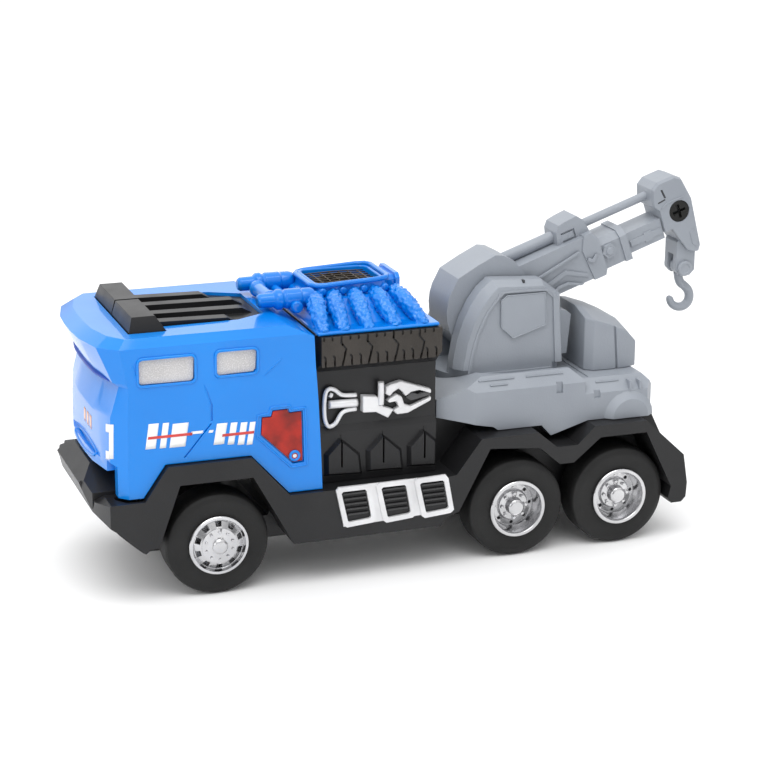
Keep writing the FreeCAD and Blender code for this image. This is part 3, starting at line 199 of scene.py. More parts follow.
M["orange_print"] = finish_mat("orange_print", (0.62, 0.28, 0.14), (0.72, 0.36, 0.2), (0.3, 0.4), coat=0.5, mottle=90.0, grain=2600.0,
                               grain_depth=0.00001, bump=0.0, wear=(0.4, 0.4, 0.6), wear_at=0.72, wear_scale=500.0)
# a darker blue, used as painted shade in the windscreen slit under the visor
M["dark_blue"] = finish_mat("dark_blue", (0.0, 0.045, 0.34), (0.0, 0.065, 0.42), (0.35, 0.45), spec=0.08, coat=0.1, mottle=90.0, grain=1200.0,
                            grain_depth=0.00001, bump=0.01)
M["tread_rubber"] = finish_mat("tread_rubber", (0.036, 0.032, 0.028), (0.060, 0.053, 0.047), (0.5, 0.66), spec=0.25, mottle=90.0, grain=2200.0,
                               grain_depth=0.00008, bump=0.05, wear=(0.09, 0.085, 0.08), wear_at=0.66)
M["dark_print"] = finish_mat("dark_print", (0.06, 0.06, 0.062), (0.10, 0.10, 0.104), (0.4, 0.5), mottle=120.0, grain=2400.0,
                             grain_depth=0.00003, bump=0.02)
# dark grey for thin plates laid where grooves are, as painted groove shade
M["groove_grey"] = finish_mat("groove_grey", (0.035, 0.037, 0.042), (0.06, 0.063, 0.07), (0.6, 0.75), mottle=120.0, grain=2400.0,
                              grain_depth=0.00003, bump=0.02)

M["mesh_brown"] = finish_mat("mesh_brown", (0.030, 0.022, 0.014), (0.085, 0.062, 0.040), (0.3, 0.45), metallic=0.3, mottle=220.0, grain=2600.0,
                             grain_depth=0.00003, bump=0.02, wear=(0.16, 0.12, 0.07), wear_at=0.62, wear_scale=500.0)
SLOT_OF = {s["node"]: s["material_slot"] for s in frame["record"]["subparts"]}


def set_material(o, m):
    o.data.materials.clear()
    o.data.materials.append(m)


# ---------------------------------------------------------------- CAD nodes: clean normals and rounded edges
BEVEL = {
    "cab_shell": (0.75, 4), "chassis_frame": (0.28, 2), "crane_deck": (0.55, 3), "winch_housing": (0.4, 3), "turret_body": (0.45, 3),
    "boom_outer": (0.35, 3), "boom_inner": (0.3, 3), "head_cover": (0.5, 3), "hook_yoke": (0.5, 3), "engine_block": (0.5, 3),
    "air_duct": (0.3, 2), "roof_light_bar": (0.35, 3), "mid_body": (0.2, 2), "step_trim_left": (0.12, 2), "step_trim_right": (0.12, 2),
    "tool_relief_left": (0.25, 2), "tool_relief_right": (0.25, 2), "window_insert": (0.2, 2), "intake_fan": (0.12, 2),
    "side_badge_left": (0.08, 2), "side_badge_right": (0.08, 2),
}


def soften(o, width, segments, dissolve=1.5):
    me = o.data
    for nm in ("custom_normal",):
        a = me.attributes.get(nm)
        if a:
            me.attributes.remove(a)
    for p in me.polygons:
        p.use_smooth = True
    w = o.modifiers.new("weld", "WELD")
    w.merge_threshold = 0.000004
    d = o.modifiers.new("planar", "DECIMATE")
    d.decimate_type = "DISSOLVE"
    d.angle_limit = math.radians(dissolve)
    b = o.modifiers.new("edges", "BEVEL")
    b.width = width * MM
    b.segments = segments
    b.limit_method = "ANGLE"
    b.angle_limit = math.radians(24)
    b.use_clamp_overlap = True
    b.miter_outer = "MITER_ARC"
    b.harden_normals = False
    n = o.modifiers.new("normals", "WEIGHTED_NORMAL")
    n.weight = 60
    n.keep_sharp = True


for name, o in nodes.items():
    set_material(o, M[SLOT_OF[name]])
    wdt, seg = BEVEL.get(name, (0.12, 2))
    soften(o, wdt, seg)

# ---------------------------------------------------------------- floor, light, camera
me = bpy.data.meshes.new("floor")
bm = bmesh.new()
bmesh.ops.create_grid(bm, x_segments=8, y_segments=8, size=3.0)
bm.to_mesh(me)
bm.free()
floor = bpy.data.objects.new("floor", me)
scene.collection.objects.link(floor)
fm = finish_mat("floor_paper", (0.93, 0.93, 0.93), (0.95, 0.95, 0.95), (0.75, 0.85), mottle=6.0, grain=400.0, grain_depth=0.00002, bump=0.0)
set_material(floor, fm)

world = bpy.data.worlds.new("studio")
scene.world = world
world.use_nodes = True
bg = world.node_tree.nodes["Background"]
wt = world.node_tree
gen = wt.nodes.new("ShaderNodeTexCoord").outputs["Generated"]
sep = wt.nodes.new("ShaderNodeSeparateXYZ")
wt.links.new(gen, sep.inputs[0])
wr_ = ramp(wt, math_node(wt, "ADD", math_node(wt, "MULTIPLY", sep.outputs["Z"], 0.5), 0.5),
           [(0.40, (0.40, 0.40, 0.40)), (0.52, (0.16, 0.163, 0.167)), (0.62, (0.24, 0.243, 0.247)), (0.80, (0.74, 0.74, 0.745)), (1.0, (0.88, 0.88, 0.88))])
wt.links.new(wr_.outputs[0], bg.inputs["Color"])
bg.inputs["Strength"].default_value = 1.5
# a white backdrop behind the truck, low over the floor
behind = math_node(wt, "MULTIPLY", sep.outputs["Y"], -1.3, True)
low_band = math_node(wt, "SUBTRACT", 1.0, math_node(wt, "MULTIPLY", math_node(wt, "ABSOLUTE", math_node(wt, "SUBTRACT", sep.outputs["Z"], 0.3)), 2.4), True)
bg2 = wt.nodes.new("ShaderNodeBackground")
bg2.inputs["Color"].default_value = (1.0, 1.0, 1.0, 1.0)
wt.links.new(math_node(wt, "MULTIPLY", math_node(wt, "MULTIPLY", behind, low_band), 1.0), bg2.inputs["Strength"])
both = wt.nodes.new("ShaderNodeAddShader")
wt.links.new(bg.outputs[0], both.inputs[0])
wt.links.new(bg2.outputs[0], both.inputs[1])
wt.links.new(both.outputs[0], wt.nodes["World Output"].inputs["Surface"])


def area(name, at, look, size, power, color=(1, 1, 1)):
    d = bpy.data.lights.new(name, "AREA")
    d.shape = "RECTANGLE"
    d.size, d.size_y = size
    d.energy = power
    d.color = color
    o = bpy.data.objects.new(name, d)
    scene.collection.objects.link(o)
    o.location = at
    o.rotation_euler = (Vector(look) - Vector(at)).to_track_quat("-Z", "Y").to_euler()
    return o


area("key_top", (0.15, 0.25, 0.75), (0, 0, 0.03), (0.7, 0.5), 3.0)
area("front_soft", (0.70, 0.50, 0.25), (0.02, 0, 0.04), (0.35, 0.35), 0.6)

AZ, EL, ROLL, F, DIST, TX, TZ = 19.85, 16.84, 0.31, 2130.0, 506.1, -1.66, 39.41
a, e, r = math.radians(AZ), math.radians(EL), math.radians(ROLL)
back = Vector((math.sin(a) * math.cos(e), math.cos(a) * math.cos(e), math.sin(e)))
right = (-back).cross(Vector((0, 0, 1))).normalized()
up = right.cross(-back)
right, up = right * math.cos(r) + up * math.sin(r), up * math.cos(r) - right * math.sin(r)
cam_d = bpy.data.cameras.new("camera")
cam_d.sensor_width = 36.0
cam_d.lens = F / 760.0 * 36.0
cam_d.clip_start = 0.01
cam_d.dof.use_dof = False
cam = bpy.data.objects.new("camera", cam_d)
scene.collection.objects.link(cam)
loc = P(TX, 0, TZ) + back * (DIST * MM)
cam.matrix_world = Matrix(((right.x, up.x, back.x, loc.x), (right.y, up.y, back.y, loc.y), (right.z, up.z, back.z, loc.z), (0, 0, 0, 1)))
scene.camera = cam
scene.view_settings.view_transform = "Standard"

# PIECES
# ---------------------------------------------------------------- helpers for the drawn pieces
TH = math.radians(19.2)
BOTH = (1, -1)


def BP(x, y, z):
    """A point of the boom's own frame."""
    return P(-28.5 + x * math.cos(TH) + z * math.sin(TH), y, 56.0 - x * math.sin(TH) + z * math.cos(TH))


def finish_piece(name, bm, mat, body, bevel=0.0, seg=2, replaces=(), angle=28, subsurf=0):
    bmesh.ops.recalc_face_normals(bm, faces=bm.faces)
    me_ = bpy.data.meshes.new(name)
    bm.to_mesh(me_)
    bm.free()
    for p_ in me_.polygons:
        p_.use_smooth = True
    o = bpy.data.objects.new(name, me_)
    scene.collection.objects.link(o)
    set_material(o, M[mat])
    if bevel:
        b_ = o.modifiers.new("edges", "BEVEL")
        b_.width = bevel * MM
        b_.segments = seg
        b_.limit_method = "ANGLE"
        b_.angle_limit = math.radians(angle)
        b_.use_clamp_overlap = True
    if subsurf:
        s_ = o.modifiers.new("smooth", "SUBSURF")
        s_.levels = s_.render_levels = subsurf
    n_ = o.modifiers.new("normals", "WEIGHTED_NORMAL")
    n_.weight = 60
    n_.keep_sharp = True
    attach(o, body)
    if replaces:
        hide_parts(*replaces)
    return o


def side_name(name, s, sides):
    return name if len(sides) == 1 else name + ("_left" if s > 0 else "_right")


def plates(name, parts, mat, body, f=P, sides=BOTH, bevel=0.12, seg=2, replaces=None):
    """Flat bodies with the outline in X and Z: parts are (outline, y of the back, y of the face, inset of the face)."""
    for s in sides:
        bm_ = bmesh.new()
        for loop, y0, y1, inset in parts:
            cx = sum(q[0] for q in loop) / len(loop)
            cz = sum(q[1] for q in loop) / len(loop)
            a_ = [bm_.verts.new(f(x, s * y0, z)) for x, z in loop]
            b_ = [bm_.verts.new(f(cx + (x - cx) * (1 - inset), s * y1, cz + (z - cz) * (1 - inset))) for x, z in loop]
            bm_.faces.new(a_)
            bm_.faces.new(list(reversed(b_)))
            for i in range(len(loop)):
                j = (i + 1) % len(loop)
                bm_.faces.new((a_[i], b_[i], b_[j], a_[j]))
        finish_piece(side_name(name, s, sides), bm_, mat, body, bevel, seg, replaces[s] if replaces else ())


def smooth_path(pts, n, closed=False):
    """Points along a Catmull-Rom line through pts."""
    out = []
    m = len(pts)
    segs = m if closed else m - 1
    for i in range(segs):
        if closed:
            p0, p1, p2, p3 = (pts[(i + k - 1) % m] for k in range(4))
        else:
            p0, p1, p2, p3 = pts[max(i - 1, 0)], pts[i], pts[i + 1], pts[min(i + 2, m - 1)]
        for k in range(n):
            t = k / n
            out.append(tuple(0.5 * ((2 * b) + (-a_ + c) * t + (2 * a_ - 5 * b + 4 * c - d) * t * t + (-a_ + 3 * b - 3 * c + d) * t ** 3)
                             for a_, b, c, d in zip(p0, p1, p2, p3)))
    if not closed:
        out.append(tuple(pts[-1]))
    return out


def sweep_into(bm_, pts, radii, ring=14, closed=False, shape=None, flat=1.0):
    """A tube through world points. shape(i, angle, point) may change the radius, in mm."""
    pts = [Vector(q) for q in pts]
    n = len(pts)
    rings = []
    ref = None
    for i, q in enumerate(pts):
        if closed:
            t = (pts[(i + 1) % n] - pts[i - 1]).normalized()
        else:
            t = (pts[min(i + 1, n - 1)] - pts[max(i - 1, 0)]).normalized()
        if ref is None:
            ref = Vector((0, 1, 0)) if abs(t.y) < 0.8 else Vector((0, 0, 1))
        u = (ref - t * ref.dot(t)).normalized()
        w = t.cross(u)
        ref = u
        vs = []
        for k in range(ring):
            ang = 2 * math.pi * k / ring
            d = u * math.cos(ang) * flat + w * math.sin(ang)
            rr_ = radii[i] if isinstance(radii, (list, tuple)) else radii
            if shape:
                rr_ += shape(i, ang, q + d * rr_ * MM)
            vs.append(bm_.verts.new(q + d * rr_ * MM))
        rings.append(vs)
    last = n if closed else n - 1
    for i in range(last):
        a_, b_ = rings[i], rings[(i + 1) % n]
        for k in range(ring):
            bm_.faces.new((a_[k], a_[(k + 1) % ring], b_[(k + 1) % ring], b_[k]))
    if not closed:
        bm_.faces.new(list(reversed(rings[0])))
        bm_.faces.new(rings[-1])


def tube(name, lines, mat, body, f=P, sides=BOTH, closed=False, n=6, ring=14, replaces=None, bevel=0.0, flat=1.0):
    """lines are (points (x, y, z) in mm, radius or list of radii at the points)."""
    for s in sides:
        bm_ = bmesh.new()
        for pts, r_ in lines:
            w_ = smooth_path([tuple(f(x, s * y, z)) for x, y, z in pts], n, closed)
            if isinstance(r_, (list, tuple)):
                r_ = [q[0] for q in smooth_path([(v,) for v in r_], n, closed)]
            sweep_into(bm_, w_, r_, ring, closed, flat=flat)
        finish_piece(side_name(name, s, sides), bm_, mat, body, bevel, 2, replaces[s] if replaces else ())


def lathe(bm_, profile, centre, axis, f=P, ring=32):
    """Rings of (distance along the axis, radius) about a line through centre, in mm. axis is 'X' or 'Y'."""
    rings = []
    for d, r_ in profile:
        vs = []
        for k in range(ring):
            t = 2 * math.pi * k / ring
            c, s_ = r_ * math.cos(t), r_ * math.sin(t)
            vs.append(bm_.verts.new(f(d, centre[0] + c, centre[1] + s_) if axis == "X" else f(centre[0] + c, d, centre[1] + s_)))
        rings.append(vs)
    for i in range(len(rings) - 1):
        for k in range(ring):
            bm_.faces.new((rings[i][k], rings[i][(k + 1) % ring], rings[i + 1][(k + 1) % ring], rings[i + 1][k]))
    bm_.faces.new(list(reversed(rings[0])))
    bm_.faces.new(rings[-1])


def tree_of(node_name):
    o = nodes[node_name]
    bm_ = bmesh.new()
    bm_.from_mesh(o.data)
    bm_.transform(o.matrix_world)
    t = BVHTree.FromBMesh(bm_)
    bm_.free()
    return t


bpy.context.view_layer.update()
CAB = tree_of("cab_shell")


def cab_side(x, z, s, up_=0.05):
    """The cab's flank at x, z, lifted by up_ mm."""
    hit = CAB.ray_cast(P(x, s * 40, z), Vector((0, -s, 0)))[0]
    y = hit.y / MM if hit else s * 22.9
    return y * s + up_


def cab_nose(y, z, up_=0.05):
    hit = CAB.ray_cast(P(95, y, z), Vector((-1, 0, 0)))[0]
    return (hit.x / MM - OX if hit else 69.8) + up_


def decal(name, quads, surface, mat, sides, up_=0.05, thick=0.05, nu=8, nv=5):
    """Thin printed patches laid on the cab: quads of four corners, in the surface's two coordinates."""
    for s in sides:
        bm_ = bmesh.new()
        for q in quads:
            for lift, rev in ((up_, False), (up_ - thick, True)):
                g = []
                for i in range(nu + 1):
                    row = []
                    for j in range(nv + 1):
                        u, v = i / nu, j / nv
                        a_ = q[0][0] * (1 - u) * (1 - v) + q[1][0] * u * (1 - v) + q[2][0] * u * v + q[3][0] * (1 - u) * v
                        b_ = q[0][1] * (1 - u) * (1 - v) + q[1][1] * u * (1 - v) + q[2][1] * u * v + q[3][1] * (1 - u) * v
                        if surface == "side":
                            row.append(bm_.verts.new(P(a_, s * cab_side(a_, b_, s, lift), b_)))
                        else:
                            row.append(bm_.verts.new(P(cab_nose(s * a_, b_, lift), s * a_, b_)))
                    g.append(row)
                for i in range(nu):
                    for j in range(nv):
                        fc = (g[i][j], g[i + 1][j], g[i + 1][j + 1], g[i][j + 1])
                        bm_.faces.new(fc if not rev else tuple(reversed(fc)))
                if not rev:
                    top = g
                else:
                    rim_t = [top[i][0] for i in range(nu + 1)] + [top[nu][j] for j in range(1, nv + 1)] + \
                            [top[i][nv] for i in range(nu - 1, -1, -1)] + [top[0][j] for j in range(nv - 1, 0, -1)]
                    rim_b = [g[i][0] for i in range(nu + 1)] + [g[nu][j] for j in range(1, nv + 1)] + \
                            [g[i][nv] for i in range(nu - 1, -1, -1)] + [g[0][j] for j in range(nv - 1, 0, -1)]
                    for i in range(len(rim_t)):
                        j = (i + 1) % len(rim_t)
                        bm_.faces.new((rim_t[i], rim_t[j], rim_b[j], rim_b[i]))
        finish_piece(side_name(name, s, sides), bm_, mat, "truck")


# ---------------------------------------------------------------- printed stripes and raised lines of the cab
def slant(x0, x1, z0, z1, lean=0.9):
    return [(x0 + lean, z0), (x1 + lean, z0), (x1, z1), (x0, z1)]


bars = [slant(60.2, 57.9, 36.2, 41.9), slant(57.0, 55.6, 36.1, 41.8), slant(54.8, 51.2, 36.0, 41.4), slant(50.6, 47.6, 38.6, 39.2, 0.2)]
bars += [slant(46.6, 45.6, 38.5, 39.1, 0.2), slant(44.8, 42.4, 35.6, 40.4), slant(41.6, 40.1, 35.3, 40.3), slant(39.3, 37.8, 35.0, 40.1), slant(37.2, 35.9, 34.8, 40.0)]
decal("stripe_print", bars, "side", "white_print", BOTH, 0.05)
decal("stripe_print_red", [slant(60.4, 50.4, 38.4, 39.0, 0.1), slant(43.6, 36.3, 37.3, 37.9, 0.1)], "side", "red_print", BOTH, 0.10, 0.09)
decal("nose_print", [[(20.3, 41.8), (19.2, 41.6), (19.2, 33.6), (20.3, 33.9)], [(19.25, 41.6), (17.4, 41.2), (17.4, 39.4), (19.25, 39.7)], [(19.25, 35.4), (17.4, 35.0), (17.4, 33.1), (19.25, 33.5)]], "nose", "white_print", BOTH, 0.05)
decal("nose_print_orange", [slant(-1.6, 0.2, 36.4, 39.6, -0.3), slant(1.4, 3.2, 36.4, 39.6, -0.3), slant(4.4, 6.2, 36.4, 39.6, -0.3)],
      "nose", "orange_print", (1,), 0.05)

RIDGE = [(35.5, 41.3), (32.9, 41.5), (32.4, 42.9), (28.0, 43.0), (27.5, 42.0), (24.3, 42.1), (24.0, 28.6), (27.8, 28.4), (35.7, 36.3)]


def on_side(pts, s, up_):
    return [tuple(P(x, s * cab_side(x, z, s, up_), z)) for x, z in pts]


def dense(pts, closed, step=0.5):
    """The same line with extra points, close to each corner, so that a smooth line keeps its shape."""
    out = []
    n_ = len(pts)
    for i in range(n_ if closed else n_ - 1):
        a_, b_ = Vector(pts[i]), Vector(pts[(i + 1) % n_])
        L = (b_ - a_).length
        k = max(1, int(L / step))
        for j in range(k):
            out.append(tuple(a_ + (b_ - a_) * (j / k)))
    if not closed:
        out.append(tuple(pts[-1]))
    return out


for s in BOTH:
    tag = "left" if s > 0 else "right"
    bm = bmesh.new()
    sweep_into(bm, on_side(dense(RIDGE, True), s, 0.02), 0.26, 10, True)
    sweep_into(bm, [tuple(P(26.9 + 1.0 * math.cos(t * math.pi / 12), s * 22.9, 31.0 + 1.0 * math.sin(t * math.pi / 12))) for t in range(24)], 0.34, 10, True)
    for line in ([(47.6, 50.2), (47.3, 49.0), (46.3, 45.6), (46.0, 42.2), (46.1, 41.0)], [(46.1, 41.0), (49.0, 37.4), (52.2, 33.5)],
                 [(33.9, 50.2), (31.2, 52.5), (29.3, 54.1)], [(63.4, 55.8), (62.7, 52.8), (62.5, 50.6)]):
        q = dense(line, False)
        sweep_into(bm, on_side(q, s, -0.05), [0.20 * min(1.0, 0.25 + 4.0 * min(i, len(q) - 1 - i) / len(q)) for i in range(len(q))], 10)
    finish_piece("cab_raised_lines_" + tag, bm, "blue_paint", "truck")
    bm = bmesh.new()
    lathe(bm, [(s * 22.5, 0.62), (s * 22.95, 0.6), (s * 23.1, 0.4), (s * 23.14, 0.1)], (26.9, 31.0), "Y", ring=20)
    finish_piece("badge_rivet_" + tag, bm, "silver_trim", "truck")
    # rounded frames of the side windows
    bm = bmesh.new()
    for x0, x1, z0, z1 in ((49.3, 62.3, 50.35, 56.65), (35.1, 44.8, 51.0, 56.95)):
        loop = []
        for cx, cz, a0 in ((x1 - 1.1, z1 - 1.1, 0), (x0 + 1.1, z1 - 1.1, 90), (x0 + 1.1, z0 + 1.1, 180), (x1 - 1.1, z0 + 1.1, 270)):
            loop += [(cx + 1.1 * math.cos(math.radians(a0 + t)), cz + 1.1 * math.sin(math.radians(a0 + t))) for t in (0, 22, 45, 68, 90)]
        y_ = [min(cab_side(x + dx, z + dz, s, 0.0) for dx, dz in ((0, 0),)) for x, z in loop]
        out = [tuple(P(x, s * (22.62 - 0.02 * (56.0 - z)), z)) for x, z in loop]
        sweep_into(bm, dense(out, True, 0.0004), 0.34, 10, True)
    finish_piece("window_frames_" + tag, bm, "blue_paint", "truck")

# windscreen slit under the visor as a dark blue strip, its darkness painted shade of the visor's overhang; oval relief
# on the nose
bm = bmesh.new()
slit = [(y, 51.15 + 0.010 * abs(y)) for y in (-19.4, -18, -15, -12, -9, -6, -3, 0, 3, 6, 9, 12, 15, 18, 19.4)]
sweep_into(bm, smooth_path([tuple(P(cab_nose(y, z, 0.0) - 0.1, y, z)) for y, z in slit], 4),
           [q[0] for q in smooth_path([(v,) for v in (0.05, 0.3, 0.55, 0.7, 0.8, 0.85, 0.88, 0.9, 0.88, 0.85, 0.8, 0.7, 0.55, 0.3, 0.05)], 4)], 14)
finish_piece("windscreen_slit_shade", bm, "dark_blue", "truck")
bm = bmesh.new()
oval = [(2.0 + 9.4 * math.cos(t * math.pi / 16), 32.4 + 1.15 * math.sin(t * math.pi / 16)) for t in range(32)]
sweep_into(bm, [tuple(P(cab_nose(y, z, 0.0), y, z)) for y, z in oval], 0.3, 10, True)
finish_piece("nose_relief", bm, "blue_paint", "truck")

# ---------------------------------------------------------------- engine: scaly headers, pipes, rim of the intake
HEAD = [(17.4, 18.9), (13.0, 14.2), (7.9, 8.4), (2.6, 2.0), (-2.2, -4.6)]
EB = 57.75


def scales(size, depth, shift):
    def fn(i, ang, q):
        v = mnoise.voronoi((q / MM + Vector((shift, 0, 0))) / size)[0]
        return depth * (0.75 - v[0] * 1.25) + 0.12 * mnoise.noise(q / MM * 0.9)
    return fn


for s in BOTH:
    bm = bmesh.new()
    for i, (xt, xf) in enumerate(HEAD):
        path = [(xt - 0.1, s * 7.6, EB + 5.5), (xt, s * 9.4, EB + 5.25), (xt * 0.7 + xf * 0.3 + 0.3, s * 12.0, EB + 4.9), ((xt + xf) / 2 + 0.4, s * 14.7, EB + 3.9),
                (xt * 0.2 + xf * 0.8 + 0.2, s * 17.3, EB + 2.4), (xf, s * 19.3, EB + 0.9), (xf, s * 19.9, EB + 0.1)]
        pts = smooth_path([tuple(P(*q)) for q in path], 12)
        n_ = len(pts)
        rad = [1.5 + 0.42 * math.sin(math.pi * min(1.0, k / (n_ * 0.75))) for k in range(n_)]
        sweep_into(bm, pts, rad, 48, shape=scales(0.95, 0.62, i * 7.3))
    tag = "left" if s > 0 else "right"
    finish_piece("scaled_headers_" + tag, bm, "blue_plastic", "truck", replaces=("exhaust_headers",) if s > 0 else ())

bm = bmesh.new()
for s in BOTH:
    lathe(bm, [(31.0, 0.7), (30.9, 1.2), (30.3, 1.62), (27.2, 1.68), (26.9, 2.0), (26.4, 2.35), (25.4, 2.4), (25.1, 2.1), (24.6, 2.0), (24.3, 2.3), (20.9, 2.3),
               (20.5, 2.0), (20.1, 2.2), (18.4, 2.2), (17.6, 1.9)], (s * 8.1, EB + 5.75), "X")
lathe(bm, [(-7.2, 1.5), (-5.6, 1.55), (-5.3, 1.95), (-4.2, 1.95), (-3.9, 1.6), (3.9, 1.6), (4.2, 1.95), (5.3, 1.95), (5.6, 1.55), (7.2, 1.5)], (26.9, EB + 5.2), "Y")
lathe(bm, [(-11.6, 0.9), (-11.4, 1.3), (-10.4, 1.45), (-10.2, 1.15), (10.2, 1.15), (10.4, 1.45), (11.4, 1.3), (11.6, 0.9)], (22.3, EB + 4.35), "Y")
finish_piece("intake_pipes", bm, "blue_plastic", "truck", 0.14, 3, ("air_duct",))

RIM = [(17.5, 5.6), (16.6, 7.2), (14.6, 7.9), (1.8, 7.9), (-0.2, 7.2), (-1.1, 5.6), (-1.1, -5.6), (-0.2, -7.2), (1.8, -7.9), (14.6, -7.9), (16.6, -7.2), (17.5, -5.6)]
bm = bmesh.new()
ring_pts = dense([(x, y, 66.05 + 0.045 * (8.0 - x)) for x, y in RIM], True, 0.6)
sweep_into(bm, [tuple(P(*q)) for q in ring_pts], 0.62, 12, True)
sweep_into(bm, [tuple(P(x * 1.02 - 0.2, y * 1.03, EB + 3.4)) for x, y, z in ring_pts], 0.7, 12, True)
# box behind the intake with its collar, and small bolts on the shoulders
for x0, x1, hw, z1 in ((-1.0, -3.4, 5.2, 66.2), (-3.2, -4.3, 5.9, 66.75)):
    vs = [bm.verts.new(P(x, y, z)) for x in (x0, x1) for y, z in ((-hw, EB + 1.0), (-hw, z1 - 1.0), (-hw + 1.0, z1), (hw - 1.0, z1), (hw, z1 - 1.0), (hw, EB + 1.0))]
    bm.faces.new(vs[:6])
    bm.faces.new(vs[6:])
    for i in range(6):
        j = (i + 1) % 6
        bm.faces.new((vs[i], vs[j], vs[6 + j], vs[6 + i]))
for s in BOTH:
    for x in (15.3, 10.4, 5.3, 0.2):
        lathe(bm, [(s * 7.6, 0.9), (s * 8.4, 0.9), (s * 8.7, 0.6)], (x, EB + 6.6), "Y", ring=16)
finish_piece("intake_rim", bm, "blue_plastic", "truck", 0.18, 3)

# ---------------------------------------------------------------- tread lugs along the upper edge of the middle
def tread_edge(x, back=0.0):
    return [(x - back, 57.65), (x + 0.1 - back, 56.2), (x - 1.1 - back, 54.7), (x - 0.8 - back, 53.2), (x - 0.2 - back, 50.7)]


lugs = []
edges = [21.5, 15.6, 9.4, 3.15, -3.1, -8.75]
for i in range(5):
    x0, x1 = edges[i], edges[i + 1]
    left_e = tread_edge(x0, 0.22) if i else [(20.25, 57.65), (20.25, 50.7)]
    right_e = tread_edge(x1, -0.22) if i < 4 else [(-8.6, 57.65), (-8.6, 52.0)]
    w = x1 - x0
    nx = [x1 + 4.15, x1 + 2.15] if i < 4 else [x1 + 4.4, x1 + 2.3]
    top = []
    for c in reversed(nx):
        top += [(c - 0.24, 57.65), (c - 0.24, 56.95), (c - 0.05, 56.7), (c + 0.2, 56.8), (c + 0.26, 57.65)]
    bot = []
    for c in [x1 + 3.75, x1 + 1.55]:
        bot += [(c + 0.2, 50.7), (c + 0.22, 52.6), (c + 0.6, 53.3), (c + 0.25, 53.5), (c - 0.18, 52.9), (c - 0.22, 50.7)]
    loop = left_e + bot + list(reversed(right_e)) + top
    lugs.append((loop, 20.6, 22.55, 0.012))
plates("tread_lugs", lugs, "tread_rubber", "truck", bevel=0.1, seg=2)

# ---------------------------------------------------------------- spreader tool on the flank
white = [([(9.8, 42.5), (6.2, 42.1), (4.6, 39.4), (2.0, 38.4), (3.4, 36.4), (6.5, 38.2), (9.8, 38.4)], 18.2, 20.1, 0.05),
         ([(4.3, 42.3), (4.1, 44.0), (2.9, 44.5), (0.3, 45.1), (-1.5, 44.4), (-7.3, 42.3), (-7.3, 41.3), (-4.3, 42.4), (-2.2, 42.1), (-0.8, 41.2), (-0.1, 42.3),
           (1.0, 43.3), (2.2, 42.6), (3.2, 41.6)], 18.2, 19.9, 0.04),
         ([(3.7, 40.8), (1.3, 42.0), (0.1, 41.3), (-0.5, 39.4), (-2.2, 38.7), (-7.3, 40.6), (-7.3, 39.7), (-1.4, 37.1), (1.3, 37.0), (2.3, 38.1), (0.8, 38.8),
           (1.5, 40.3), (3.4, 40.1)], 18.2, 19.9, 0.04)]
plates("spreader_tool", white, "silver_trim", "truck", bevel=0.3, seg=3,
       replaces={1: ("tool_relief_left",), -1: ("tool_relief_right",)})
plates("spreader_jaw", [([(-0.8, 40.9), (-2.2, 42.0), (-3.9, 41.4), (-7.2, 42.0), (-7.2, 40.8), (-3.9, 40.2), (-2.2, 39.9)], 18.2, 19.4, 0.05)], "dark_print", "truck",
       bevel=0.2, seg=2)
tube("spreader_handle", [([(11.0, 19.2, 42.6), (14.4, 19.3, 43.0), (16.1, 19.3, 44.3), (17.5, 19.3, 44.7), (18.4, 19.3, 43.6), (18.7, 19.3, 40.5), (18.5, 19.3, 37.4),
                           (17.6, 19.3, 35.8), (16.0, 19.3, 36.4), (14.2, 19.3, 38.9), (11.0, 19.2, 39.3)], 0.5),
                         ([(17.6, 19.1, 40.9), (14.0, 19.2, 40.9), (10.8, 19.2, 40.8)], 0.95), ([(5.3, 19.9, 45.4), (5.3, 20.0, 42.4), (5.3, 19.9, 39.9)], 0.72),
                         ([(17.4, 19.2, 43.3), (16.8, 19.2, 43.0)], 0.55)], "silver_trim", "truck", n=5, ring=14)

# ---------------------------------------------------------------- dark slats behind the step frames
slats = []
for x0 in (17.8, 8.2, -1.2):
    for i in range(5):
        zc = 15.9 + 1.25 * i
        xl = x0 - 3.0 + (zc - 14.7) * (1.5 / 6.9)
        xr = x0 - 8.1 + (zc - 14.7) * (0.9 / 6.9)
        slats.append(([(xl, zc - 0.1), (xl, zc + 0.45), (xr, zc + 0.5), (xr, zc - 0.05)], 24.5, 24.98, 0.03))
plates("step_slats", slats, "gloss_black", "truck", bevel=0.1, seg=1)

# ---------------------------------------------------------------- crane: raised lines, nut, rails
plates("boom_relief", [([(-13.0, -3.3), (-16.6, -1.3), (-19.4, -1.3), (-23.2, -3.4), (-22.2, -3.4), (-19.2, -2.0), (-16.8, -2.0), (-14.6, -3.3)], 5.6, 6.25, 0.0),
                       ([(-25.6, 1.6), (-27.0, 0.6), (-28.6, 2.2), (-28.0, 2.6), (-27.0, 1.6), (-26.0, 2.4)], 5.9, 6.35, 0.0),
                       ([(-9.8, 1.9), (-24.3, 4.2), (-24.3, 4.8), (-9.8, 2.6)], 5.6, 6.15, 0.0)], "crane_grey", "boom", f=BP, bevel=0.12)
bm = bmesh.new()
for s in BOTH:
    lathe(bm, [(s * 5.5, 1.05), (s * 6.0, 1.05), (s * 6.2, 0.75)], (-31.8, 1.5), "Y", f=BP, ring=20)
finish_piece("boom_bolts", bm, "crane_grey", "boom", 0.08, 2)
tube("boom_rails", [([(-46.8, 3.62, -0.35), (-41.0, 3.62, -0.35), (-38.0, 3.62, -0.35)], 0.34), ([(-46.8, 3.62, 0.65), (-41.0, 3.62, 0.65), (-38.0, 3.62, 0.65)], 0.34)],
     "crane_grey", "sliding_boom", f=BP, n=3, ring=12)
